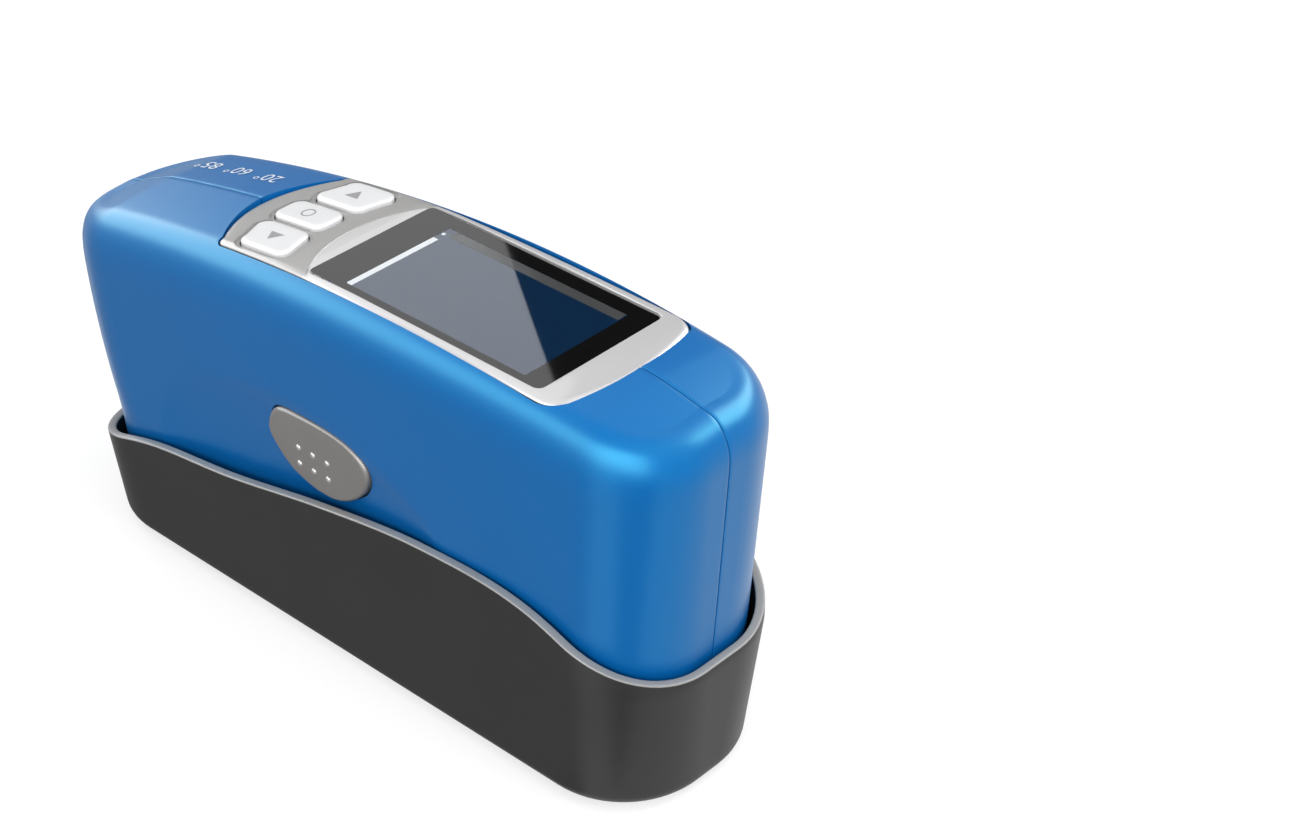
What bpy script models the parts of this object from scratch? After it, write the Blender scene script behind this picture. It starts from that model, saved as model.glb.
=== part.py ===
"""Hand-held three-angle gloss meter resting in its calibration base.

Run it with blender --background --python part.py, or from the text editor.
Lengths below are in millimetres; the objects are made in metres with +Z up.
+X is the front end of the instrument, -Y the side with the measure button.
"""
import math

import bmesh
import bpy
from mathutils import Matrix, Vector

MM = 0.001

# Gaps between pieces
GAP = 0.3
SEAM = 0.3
BASE_CLEARANCE = 0.9

# Overall form of the housing
LENGTH = 160.0
SOLE_Z = 5.0
CREST_Z = 83.6
CREST_X = 30.0
REAR_DROP = 15.4
REAR_DROP_SPAN = 107.0
CROWN = 1.6
TOP_HALF_WIDTH = 21.3
SIDE_DRAFT = 1.5
SOLE_DRAFT = 0.7
SHOULDER = 7.6
RIM_LEVEL = 29.0
FRONT_DRAFT = 3.6
REAR_TUCK = 5.8
REAR_TUCK_POWER = 2.4
SOLE_TUCK = 4.5
BARREL = 0.12
BARREL_LOW = 0.04
BARREL_X = 13.0
FRONT_CORNER = 15.9
REAR_CORNER = 16.9
TOP_FILLET = 6.6
WALL = 2.0
TOP_LEVEL = CREST_Z - SHOULDER
RIM_HALF_WIDTH = TOP_HALF_WIDTH - SIDE_DRAFT
SOLE_HALF_WIDTH = RIM_HALF_WIDTH - SOLE_DRAFT

# Calibration base, round the housing's lower part
BASE_WALL = 1.7
BASE_X = (REAR_TUCK - FRONT_DRAFT) / 2
BASE_HALF_LENGTH = (LENGTH - REAR_TUCK - FRONT_DRAFT) / 2 + BASE_CLEARANCE + BASE_WALL
BASE_HALF_WIDTH = RIM_HALF_WIDTH + BASE_CLEARANCE + BASE_WALL
BASE_CORNER = FRONT_CORNER + GAP + BASE_WALL
BASE_DRAFT = 1 / 9
BASE_WIDTH_DRAFT = 1 / 16
BASE_BOTTOM = 1.0
BASE_FLOOR = 2.4
BASE_EDGE = 3.0
RIM_HEIGHTS = (17.9, 26.6, 31.0, 36.6, 40.6, 40.2, 30.4)
RIM_CROWN = 0.3
FLOOR_TOP = BASE_BOTTOM + BASE_FLOOR
FOOT_RADIUS = 4.0
FOOT_HEIGHT = 1.6
FOOT_CHAMFER = 0.4
FOOT_END_MARGIN = 25.9
FOOT_X = BASE_HALF_LENGTH - FOOT_END_MARGIN
FOOT_Y = 11.0
PILLAR_END_MARGIN = 17.9
PILLAR_X = BASE_HALF_LENGTH - PILLAR_END_MARGIN
PILLAR_Y = 8.0
PILLAR_TOP_RADIUS = 2.2
PILLAR_FLARE = 0.4

# Black glass standard below the measuring aperture
TILE_LENGTH = 66.0
TILE_WIDTH = 24.0
TILE_THICK = 1.3
TILE_DEPTH = 0.6
TILE_TOP = SOLE_Z - TILE_DEPTH
TILE_FRAME = 3.0
PAD_THICK = 0.6
PAD_MARGIN = 1.0
PAD_Z = TILE_TOP - TILE_THICK - GAP / 2 - PAD_THICK

# Bottom plate and its screws
SOLE_THICK = 2.7
SOLE_TOP = SOLE_Z + SOLE_THICK
APERTURE_HALF = 27.0
APERTURE_BEVEL = 0.9
APERTURE_TOP_HALF = 48.0
APERTURE_WIDTH = 12.0
SCREW_REAR = 36.0 - LENGTH / 2
SCREW_FRONT = LENGTH / 2 - 30.0
SCREW_EDGE = 5.5
SCREW_Y = SOLE_HALF_WIDTH - SCREW_EDGE
SCREW_HEAD = 2.1
SCREW_HEAD_DEPTH = 1.3
SCREW_SHANK = 1.0
SCREW_LENGTH = 9.0
SCREW_POINT = 1.0
CROSS_LONG = 1.3
CROSS_THIN = 0.25
CROSS_DEPTH = 0.7
BOSS_WALL = 1.55
BOSS_OVER = 4.0
BOSS_RADIUS = SCREW_SHANK + GAP / 2 + BOSS_WALL

# Top plate
TOP_PLATE_DROP = 2.0
TOP_PLATE_Z = CREST_Z - TOP_PLATE_DROP
TOP_PLATE_RISE = 0.9
TOP_PLATE_DEPTH = 3.0
TOP_PLATE_BEND = 1.2
TOP_PLATE_LIFT = 0.25
FRONT_MARGIN = 20.4
REAR_MARGIN = 44.4
SIDE_MARGIN = 3.9
BEZEL_TAPER = 1.2
BEZEL_REAR = REAR_MARGIN - LENGTH / 2
BEZEL_FRONT = LENGTH / 2 - FRONT_MARGIN
BEZEL_FRONT_HALF = TOP_HALF_WIDTH - SIDE_MARGIN
BEZEL_REAR_HALF = BEZEL_FRONT_HALF - BEZEL_TAPER
BEZEL_REAR_SAG = 5.6
BEZEL_FRONT_SAG = 4.0
BEZEL_FRONT_CORNER = 4.0
BEZEL_REAR_CORNER = 2.0

# Keys
KEY_REAR_MARGIN = 6.4
KEY_LENGTH = 13.2
KEY_REAR = BEZEL_REAR + KEY_REAR_MARGIN
KEY_FRONT = KEY_REAR + KEY_LENGTH
KEY_REAR_RADIUS = 24.1
KEY_FRONT_RADIUS = 33.0
KEY_INNER = 3.7
KEY_SPACE = 1.7
KEY_SIDE_MARGIN = 1.6
KEY_SPLIT = KEY_INNER + KEY_SPACE
KEY_OUTER = BEZEL_REAR_HALF - KEY_SIDE_MARGIN
KEY_RISE = 0.6
KEY_CORNER = 2.4
KEY_TRAVEL = 0.8
KEY_HOLLOW = 0.4
KEY_HOLLOW_EDGE = 1.2
FLANGE_THICK = 1.1
FLANGE_EDGE = 0.45
STEM_RADIUS = 1.5

# Window in the top plate
WINDOW_FRONT_MARGIN = 8.6
WINDOW_SIDE_MARGIN = 2.3
WINDOW_REAR_MARGIN = 10.4
WINDOW_FRONT = BEZEL_FRONT - WINDOW_FRONT_MARGIN
WINDOW_REAR = KEY_FRONT + WINDOW_REAR_MARGIN
WINDOW_HALF = BEZEL_FRONT_HALF - WINDOW_SIDE_MARGIN
WINDOW_THICK = 1.2
WINDOW_RECESS = 0.5
WINDOW_LEDGE = 2.2
WINDOW_CORNER = 1.2

# Measure button, its outline in the side view in shares of its two half sizes
BUTTON_HALF_LENGTH = 13.6
BUTTON_HALF_HEIGHT = 7.5
BUTTON_OUTLINE = (
    (-0.963, 0.213), (-0.765, 0.84), (-0.206, 0.987), (0.5, 0.947), (0.912, 0.627), (1.0, 0.133),
    (0.816, -0.48), (0.426, -0.933), (-0.029, -1.0), (-0.515, -0.747), (-0.846, -0.253))
BUTTON_X = -1.2
BUTTON_Z = 45.6
BUTTON_PROUD = 0.6
BUTTON_DEPTH = 4.3
BUTTON_FLANGE = 1.2
BUTTON_FLANGE_GROW = 1.06
BUTTON_BEVEL = 0.9
BUTTON_TRAVEL = 1.0
BUMP_PITCH = 3.85
BUMP_ROW = 3.5
BUMP_X = BUTTON_X - 0.5
BUMP_Z = BUTTON_Z - 1.3
BUMP_RADIUS = 0.75
SCOOP_BEHIND = 5.8
SCOOP_BELOW = 18.1
SCOOP_X = BUTTON_X - SCOOP_BEHIND
SCOOP_Z = BUTTON_Z - SCOOP_BELOW
SCOOP_HALF_LENGTH = 42.0
SCOOP_HALF_HEIGHT = 27.0
SCOOP_DEPTH = 1.3
SCOOP_FADE = 10.0

# Optics, whose arms meet at the centre of the aperture
ANGLES = (20, 60, 85)
BORE = {20: 3.6, 60: 3.6, 85: 2.0}
BORE_START = 1.0
BORE_HEADROOM = 41.1
BORE_ROOM = 25.0
LOW_BORE_ROOM = 17.0
BORE_END = {20: CREST_Z - BORE_HEADROOM, 60: LENGTH / 2 - BORE_ROOM, 85: LENGTH / 2 - LOW_BORE_ROOM}
LENS_BACK = {20: 8.0, 60: 8.0, 85: 6.0}
BLOCK_SIDE_ROOM = 12.3
BLOCK_HALF_WIDTH = TOP_HALF_WIDTH - BLOCK_SIDE_ROOM
BLOCK_MARGIN = 3.1
BLOCK_END_MARGIN = 1.2
BLOCK_END_HEIGHT = 14.5
BLOCK_STEP = 8.0
BLOCK_STEP_RISE = 1.5
BLOCK_SLOPE = 10.0
BLOCK_TOP_HALF = 26.0

# Electronics
BOARD_THICK = 1.6
BOARD_REAR = BEZEL_REAR - 6.4
BOARD_FRONT = WINDOW_FRONT + 1.0
BOARD_HALF = BEZEL_REAR_HALF - 1.2
SWITCH_HALF = 3.0
SWITCH_HEIGHT = 2.2
PLUNGER_RISE = 0.8
PLUNGER_RADIUS = 1.6
CARRIER_WALL = 1.6
CARRIER_SIDE_WALL = 1.2
CARRIER_REAR_MARGIN = 3.0
CARRIER_FRONT_MARGIN = 4.0
CARRIER_SIDE_MARGIN = 1.5
PANEL_LIFT = 2.0
PANEL_SINK = 0.6
PROCESSOR_X = 20.0
PROCESSOR_HALF = 6.0
PROCESSOR_HEIGHT = 1.4
BUZZER_X = BOARD_REAR + 18.0
BUZZER_RADIUS = 5.0
BUZZER_HEIGHT = 4.0
BATTERY_X = -8.0
BATTERY_LENGTH = 34.0
BATTERY_SIDE_ROOM = 7.3
BATTERY_HALF_WIDTH = TOP_HALF_WIDTH - BATTERY_SIDE_ROOM
BATTERY_ROUND = 2.0
BATTERY_HEIGHT = 10.0
SIDE_BOARD_HALF = 9.0
SIDE_SWITCH_BELOW = 1.5
SIDE_SWITCH_Z = BUTTON_Z - SIDE_SWITCH_BELOW
SIDE_BOARD_BELOW = 11.1
SIDE_BOARD_ABOVE = 3.4
SIDE_PLUNGER_RADIUS = 1.3
SIDE_SWITCH_DEPTH = 2.5
SOCKET_Z = 40.0
SOCKET_REAR_MARGIN = 2.6
SOCKET_DEPTH = 9.4
SOCKET_HALF_WIDTH = 4.5
SOCKET_HALF_HEIGHT = 1.6
SOCKET_WALL = 0.45
SOCKET_BACK = 2.0
SOCKET_ROOM = 0.4


def material(name, colour, rough, metal=0.0):
    """Principled material with one colour, roughness and metallic value."""
    mat = bpy.data.materials.new(name)
    mat.use_nodes = True
    shader = mat.node_tree.nodes["Principled BSDF"]
    shader.inputs["Base Color"].default_value = (*colour, 1.0)
    shader.inputs["Roughness"].default_value = rough
    shader.inputs["Metallic"].default_value = metal
    return mat


def new_object(name, mesh, mat=None):
    """Link a mesh to the scene as one named object."""
    obj = bpy.data.objects.new(name, mesh)
    bpy.context.scene.collection.objects.link(obj)
    if mat is not None:
        mesh.materials.append(mat)
    return obj


def solid(name, verts, faces, mat=None, smooth=False):
    """Closed solid from vertices in millimetres and faces."""
    mesh = bpy.data.meshes.new(name)
    bm = bmesh.new()
    made = [bm.verts.new(Vector(v) * MM) for v in verts]
    for face in faces:
        bm.faces.new([made[i] for i in face])
    bmesh.ops.recalc_face_normals(bm, faces=bm.faces)
    for face in bm.faces:
        face.smooth = smooth
    bm.to_mesh(mesh)
    bm.free()
    return new_object(name, mesh, mat)


def loft(name, rings, mat=None, smooth=False):
    """Closed solid through rings with equal point counts, capped at both ends."""
    count = len(rings[0])
    verts = [p for ring in rings for p in ring]
    faces = []
    for level in range(len(rings) - 1):
        low, high = level * count, (level + 1) * count
        for i in range(count):
            j = (i + 1) % count
            faces.append((low + i, low + j, high + j, high + i))
    faces.append(tuple(reversed(range(count))))
    top = (len(rings) - 1) * count
    faces.append(tuple(top + i for i in range(count)))
    return solid(name, verts, faces, mat, smooth)


def box(name, low, high, mat=None):
    """Box between two corners."""
    (x0, y0, z0), (x1, y1, z1) = low, high
    rings = [[(x0, y0, z), (x1, y0, z), (x1, y1, z), (x0, y1, z)] for z in (z0, z1)]
    return loft(name, rings, mat)


def circle(radius, count=32):
    """Points of a circle about the origin."""
    return [(radius * math.cos(a), radius * math.sin(a))
            for a in (2 * math.pi * i / count for i in range(count))]


def turned(name, profile, mat=None, place=Matrix(), count=32):
    """Turned solid from (radius, height) pairs, moved by place (millimetres)."""
    rings = [[(x, y, h) for x, y in circle(r, count)] for r, h in profile]
    obj = loft(name, rings, mat)
    move = place.copy()
    move.translation = move.translation * MM
    obj.data.transform(move)
    shade_round(obj)
    return obj


def shade_round(obj, limit=math.radians(35)):
    """Shade an object smooth and keep its sharp edges."""
    for face in obj.data.polygons:
        face.use_smooth = True
    obj.data.set_sharp_from_angle(angle=limit)


def combine(target, tool, operation):
    """Apply one exact Boolean to target and remove the tool object."""
    mod = target.modifiers.new(operation.lower(), "BOOLEAN")
    mod.operation = operation
    mod.solver = "EXACT"
    mod.object = tool
    bpy.context.view_layer.update()
    graph = bpy.context.evaluated_depsgraph_get()
    result = bpy.data.meshes.new_from_object(target.evaluated_get(graph))
    target.modifiers.remove(mod)
    old = target.data
    target.data = result
    bpy.data.meshes.remove(old)
    mesh = tool.data
    bpy.data.objects.remove(tool)
    bpy.data.meshes.remove(mesh)


def cut(target, tool):
    """Take tool away from target."""
    combine(target, tool, "DIFFERENCE")


def join(target, tool):
    """Add tool to target."""
    combine(target, tool, "UNION")


def tidy(obj, limit=math.radians(35)):
    """Merge doubled points, drop slivers and shade the rounds smooth."""
    bm = bmesh.new()
    bm.from_mesh(obj.data)
    bmesh.ops.remove_doubles(bm, verts=bm.verts, dist=1e-6)
    bmesh.ops.dissolve_degenerate(bm, edges=bm.edges, dist=1e-6)
    bmesh.ops.triangulate(bm, faces=bm.faces)
    bmesh.ops.recalc_face_normals(bm, faces=bm.faces)
    bm.to_mesh(obj.data)
    bm.free()
    shade_round(obj, limit)


def set_origin(obj, point):
    """Move the origin of an object to a point in millimetres, mesh unmoved."""
    where = Vector(point) * MM
    obj.data.transform(Matrix.Translation(-where))
    obj.location = where


def spline(values, t):
    """Smooth curve through evenly spaced values, t from 0 to 1."""
    last = len(values) - 1
    s = min(max(t, 0.0), 1.0) * last
    i = min(int(s), last - 1)
    f = s - i
    p1, p2 = values[i], values[i + 1]
    p0 = values[i - 1] if i > 0 else 2 * p1 - p2
    p3 = values[i + 2] if i < last - 1 else 2 * p2 - p1
    return p1 + 0.5 * f * (p2 - p0 + f * (2 * p0 - 5 * p1 + 4 * p2 - p3
                                          + f * (3 * (p1 - p2) + p3 - p0)))


def closed_curve(points, steps):
    """Smooth closed curve through a few points, with steps points between them."""
    count = len(points)
    out = []
    for i in range(count):
        p = [points[(i + k - 1) % count] for k in range(4)]
        for s in range(steps):
            f = s / steps
            out.append(tuple(
                p[1][a] + 0.5 * f * (p[2][a] - p[0][a]
                                     + f * (2 * p[0][a] - 5 * p[1][a] + 4 * p[2][a] - p[3][a]
                                            + f * (3 * (p[1][a] - p[2][a]) + p[3][a] - p[0][a])))
                for a in (0, 1)))
    return out


def crest(x):
    """Height of the housing's top on the centre plane."""
    return CREST_Z - REAR_DROP * ((x - CREST_X) / REAR_DROP_SPAN) ** 2


def plate_top(x):
    """Height of the top plate, flat at the window and bent down at the keys."""
    bent = crest(x) - TOP_PLATE_RISE
    both = TOP_PLATE_Z + bent
    return 0.5 * (both - math.hypot(TOP_PLATE_Z - bent, TOP_PLATE_BEND)) + TOP_PLATE_LIFT


def board_top():
    """Height of the main board, low enough for a pressed key to clear its switch."""
    flange = plate_top(KEY_REAR) - TOP_PLATE_DEPTH - GAP - FLANGE_THICK
    return flange - KEY_TRAVEL - GAP - SWITCH_HEIGHT


def depth_ratio(z):
    """0 at the widest level of the housing, 1 at the rim of the base."""
    return (TOP_LEVEL - z) / (TOP_LEVEL - RIM_LEVEL)


def plan_size(z, inset):
    """Front, rear, half width and corner radii of the housing's plan at a height."""
    t = depth_ratio(z)
    low = max(t - 1.0, 0.0)
    front = LENGTH / 2 - FRONT_DRAFT * max(t, 0.0) - inset
    tuck = REAR_TUCK * min(max(t, 0.0), 1.0) ** REAR_TUCK_POWER + SOLE_TUCK * low / (low + 0.5)
    rear = -LENGTH / 2 + tuck + inset
    half = TOP_HALF_WIDTH - SIDE_DRAFT * min(t, 1.0) - SOLE_DRAFT * low * 2 - inset
    return front, rear, half, max(FRONT_CORNER - inset, 0.4), max(REAR_CORNER - inset, 0.4)


def barrel(x, z):
    """Narrowing of the plan towards both ends."""
    t = min(max(depth_ratio(z), 0.0), 1.0)
    amount = BARREL + (BARREL_LOW - BARREL) * t
    return 1 - amount * ((x - BARREL_X) / (LENGTH / 2)) ** 2


def rounded_plan(front, rear, half, front_corner, rear_corner, counts):
    """Half outline of a rounded rectangle from front centre to rear centre, +Y side."""
    end, arc, side = counts
    front_corner = min(front_corner, half - 0.2)
    rear_corner = min(rear_corner, half - 0.2)
    pts = [(front, (half - front_corner) * i / end) for i in range(end)]
    for i in range(arc):
        a = math.pi / 2 * i / arc
        pts.append((front - front_corner * (1 - math.cos(a)), half - front_corner * (1 - math.sin(a))))
    x0, x1 = front - front_corner, rear + rear_corner
    pts += [(x0 + (x1 - x0) * i / side, half) for i in range(side)]
    for i in range(arc):
        a = math.pi / 2 * i / arc
        pts.append((rear + rear_corner * (1 - math.sin(a)), half - rear_corner * (1 - math.cos(a))))
    pts += [(rear, (half - rear_corner) * (1 - i / end)) for i in range(end + 1)]
    return pts


SKIN_DETAIL = {"counts": (1, 7, 13), "levels": 10, "turns": 5, "columns": 6}
CORE_DETAIL = {"counts": (1, 5, 8), "levels": 5, "turns": 3, "columns": 4}


def scoop(x, z):
    """Depth of the shallow hollow round the measure button."""
    r = ((x - SCOOP_X) / SCOOP_HALF_LENGTH) ** 2 + ((z - SCOOP_Z) / SCOOP_HALF_HEIGHT) ** 2
    fade = min(max((z - SCOOP_FADE) / SCOOP_FADE, 0.0), 1.0)
    return SCOOP_DEPTH * fade * (1 - r) ** 0.8 if r < 1 else 0.0


def housing_solid(name, inset, sole, detail):
    """Closed solid of the housing's form, smaller by inset, from height sole up."""
    fillet = max(TOP_FILLET - inset, 1.0)
    counts, levels = detail["counts"], detail["levels"]
    turns, columns = detail["turns"], detail["columns"]
    guide = rounded_plan(*plan_size(TOP_LEVEL, inset), counts)
    half_count = len(guide)

    def place(i, z, extra):
        x, y = rounded_plan(*plan_size(z, inset + extra), counts)[i]
        return x, y * barrel(x, z)

    def edge_height(i):
        x, y = guide[i]
        return crest(x) - inset - CROWN * (max(y - fillet, 0.0) / TOP_HALF_WIDTH) ** 2

    rows = []
    for level in range(levels):
        t = level / (levels - 1)
        row = []
        for i in range(half_count):
            z = sole + t * (edge_height(i) - fillet - sole)
            row.append((*place(i, z, 0.0), z))
        rows.append(row)
    for turn in range(1, turns + 1):
        a = math.pi / 2 * turn / turns
        row = []
        for i in range(half_count):
            top = edge_height(i)
            x, y = place(i, top - fillet, fillet * (1 - math.cos(a)))
            row.append((x, y, top - fillet * (1 - math.sin(a))))
        rows.append(row)

    verts, index = [], {}

    def add(key, point):
        index[key] = len(verts)
        verts.append(point)

    for r, row in enumerate(rows):
        for i, (x, y, z) in enumerate(row):
            add((r, i, 1), (x, y, z))
            if 0 < i < half_count - 1:
                add((r, i, -1), (x, -y + scoop(x, z), z))
            else:
                index[(r, i, -1)] = index[(r, i, 1)]
    faces = []
    for r in range(len(rows) - 1):
        for i in range(half_count - 1):
            for side in (1, -1):
                faces.append([index[(r, i, side)], index[(r, i + 1, side)],
                              index[(r + 1, i + 1, side)], index[(r + 1, i, side)]])
    top = len(rows) - 1
    for i in range(1, half_count - 1):
        x, y, z = rows[top][i]
        for c in range(1, columns):
            v = y * (1 - 2 * c / columns)
            rise = CROWN * ((y / TOP_HALF_WIDTH) ** 2 - (v / TOP_HALF_WIDTH) ** 2)
            add((top, i, "c", c), (x, v, z + rise))
        index[(top, i, "c", 0)] = index[(top, i, 1)]
        index[(top, i, "c", columns)] = index[(top, i, -1)]
    for c in range(columns):
        for i in range(1, half_count - 2):
            faces.append([index[(top, i, "c", c)], index[(top, i + 1, "c", c)],
                          index[(top, i + 1, "c", c + 1)], index[(top, i, "c", c + 1)]])
        for tip, near in ((0, 1), (half_count - 1, half_count - 2)):
            faces.append([index[(top, tip, 1)], index[(top, near, "c", c)], index[(top, near, "c", c + 1)]])
    low = [index[(0, i, 1)] for i in range(half_count)]
    low += [index[(0, i, -1)] for i in range(half_count - 2, 0, -1)]
    faces.append(low)
    return solid(name, verts, faces)


def wall_at(x, z):
    """Half width of the housing's side wall, hollow left out."""
    half = plan_size(z, 0.0)[2]
    return half * barrel(x, z)


def plan_loft(name, outline, low, high, mat=None):
    """Prism with one outline between two heights."""
    return loft(name, [[(x, y, z) for x, y in outline] for z in (low, high)], mat)


def slab(name, low, high):
    """Solid across Y over the top plate between two heights given as functions of x."""
    steps = 22
    spare = 3.0
    rear, front, half = BEZEL_REAR - spare, BEZEL_FRONT + spare, TOP_HALF_WIDTH
    xs = [rear + (front - rear) * i / steps for i in range(steps + 1)]
    profile = [(x, low(x)) for x in xs] + [(x, high(x)) for x in reversed(xs)]
    return loft(name, [[(x, y, z) for x, z in profile] for y in (half, -half)])


def over(height):
    """Solid above a curved height, as wide and long as the top plate."""
    return slab("over", height, lambda x: CREST_Z + 6)


def upright(name, outline):
    """Prism with one outline that stands through the whole top plate."""
    return plan_loft(name, outline, plate_top(BEZEL_REAR) - TOP_PLATE_DEPTH - 4, CREST_Z + 5)


def mirror_outline(half):
    """Whole outline from its +Y half, ends on the centre plane."""
    return half + [(x, -y) for x, y in reversed(half[1:-1])]


def bezel_outline(grow):
    """Outline of the top plate, larger by grow all round."""
    rear_edge = BEZEL_REAR + BEZEL_REAR_SAG
    front_edge = BEZEL_FRONT - BEZEL_FRONT_SAG - BEZEL_FRONT_CORNER * 0.6
    half = []
    for i in range(9):
        y = (BEZEL_FRONT_HALF - BEZEL_FRONT_CORNER * 0.7) * i / 8
        half.append((BEZEL_FRONT - BEZEL_FRONT_SAG * 0.75 * (y / BEZEL_FRONT_HALF) ** 2 + grow, y))
    tip_x, tip_y = half[-1]
    for i in range(1, 6):
        a = math.pi / 2 * (0.2 + 0.8 * i / 5)
        x = tip_x + (front_edge - tip_x) * (1 - math.cos(a))
        half.append((x, tip_y + (BEZEL_FRONT_HALF + grow - tip_y) * math.sin(a)))
    start = half[-1][0]
    corner_x = rear_edge + BEZEL_REAR_CORNER
    corner_y = BEZEL_REAR_HALF - BEZEL_REAR_CORNER
    for i in range(1, 13):
        t = i / 12
        half.append((start + (corner_x - start) * t, BEZEL_FRONT_HALF - BEZEL_TAPER * t ** 2 + grow))
    radius = BEZEL_REAR_CORNER + grow
    for i in range(1, 5):
        a = math.pi / 2 * i / 4
        half.append((corner_x - radius * math.sin(a), corner_y + radius * math.cos(a)))
    for i in range(1, 9):
        y = corner_y * (1 - i / 8)
        half.append((BEZEL_REAR - grow + BEZEL_REAR_SAG * (y / corner_y) ** 2, y))
    return mirror_outline(half)


def rounded_box(grow):
    """Outline of the window, larger by grow all round."""
    r = WINDOW_CORNER + max(grow, 0.0)
    front, rear, half = WINDOW_FRONT + grow - r, WINDOW_REAR - grow + r, WINDOW_HALF + grow - r
    pts = []
    for cx, cy, start in ((front, -half, -90), (front, half, 0), (rear, half, 90), (rear, -half, 180)):
        for i in range(5):
            a = math.radians(start + 90 * i / 4)
            pts.append((cx + r * math.cos(a), cy + r * math.sin(a)))
    return pts


def key_band(grow, low, high):
    """Corners of a key between two arcs and two sides, larger by grow."""
    def rear(y):
        return KEY_REAR + y * y / (2 * KEY_REAR_RADIUS) - grow

    def front(y):
        return KEY_FRONT + y * y / (2 * KEY_FRONT_RADIUS) + grow
    low, high = low - grow, high + grow
    corner = KEY_CORNER + grow
    pts = []
    for cx, cy, start in ((front, low, -90), (front, high, 0), (rear, high, 90), (rear, low, 180)):
        inner_y = cy + corner if cy == low else cy - corner
        sign = -1 if cx is front else 1
        centre_x = cx(inner_y) + sign * corner
        for i in range(6):
            a = math.radians(start + 90 * i / 5)
            pts.append((centre_x + corner * math.cos(a), inner_y + corner * math.sin(a)))
    return pts


KEY_SIDES = {"key_up": (-KEY_OUTER, -KEY_SPLIT), "key_enter": (-KEY_INNER, KEY_INNER),
             "key_down": (KEY_SPLIT, KEY_OUTER)}


def key_centre(name):
    """Middle of a key in plan."""
    low, high = KEY_SIDES[name]
    y = (low + high) / 2
    return (KEY_REAR + KEY_FRONT) / 2 + y * y / (4 * KEY_REAR_RADIUS) + y * y / (4 * KEY_FRONT_RADIUS), y


def button_ring(factor, y):
    """Ring of the measure button's outline, scaled about its centre, at a place across the housing."""
    wide, tall = BUTTON_HALF_LENGTH * factor, BUTTON_HALF_HEIGHT * factor
    return [(BUTTON_X + x * wide, y, BUTTON_Z + z * tall) for x, z in closed_curve(BUTTON_OUTLINE, 3)]


def button_face():
    """How far the measure button's face lies from the centre plane."""
    return wall_at(BUTTON_X, BUTTON_Z) + BUTTON_PROUD


def bar(axis, radius, start, end, count=24):
    """Cylinder along a direction from the centre of the measuring spot."""
    place = Matrix.Translation((0, 0, SOLE_Z)) @ Vector(axis).to_track_quat("Z", "Y").to_matrix().to_4x4()
    return turned("tool", [(radius, start), (radius, end)], None, place, count)


def arm(angle, side):
    """Direction of one optical arm, side -1 for the source and +1 for the receiver."""
    a = math.radians(angle)
    return Vector((side * math.sin(a), 0, math.cos(a)))


def side_block(name, side, low, high):
    """Box on one side of the centre plane; low and high hold x, distance from the plane and z."""
    near, far = sorted((side * low[1], side * high[1]))
    return box(name, (low[0], near, low[2]), (high[0], far, high[2]))


def add_ledge(half, side, low, high):
    """Join a ledge to a housing half, trimmed inside the wall."""
    tool = side_block("ledge", side, low, high)
    combine(tool, housing_solid("trim", WALL / 2, SOLE_Z, CORE_DETAIL), "INTERSECT")
    join(half, tool)


def add_bosses(half, side):
    """Join the screw bosses, each on a rib to the side wall, and bore them."""
    low = SOLE_TOP + GAP
    top = SOLE_TOP + SCREW_LENGTH + BOSS_OVER
    rib = BOSS_RADIUS - 0.2
    for x in (SCREW_REAR, SCREW_FRONT):
        wall = wall_at(x, (low + top) / 2) - WALL / 2
        join(half, side_block("rib", side, (x - rib, SCREW_Y, low + 0.4), (x + rib, wall, top - 0.6)))
        spot = Matrix.Translation((x, side * SCREW_Y, 0))
        join(half, turned("boss", [(BOSS_RADIUS, low), (BOSS_RADIUS, top)], None, spot, 20))
        bore = SCREW_SHANK + GAP / 2
        cut(half, turned("bore", [(bore, low - 1), (bore, top - 2)], None, spot, 16))


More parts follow.
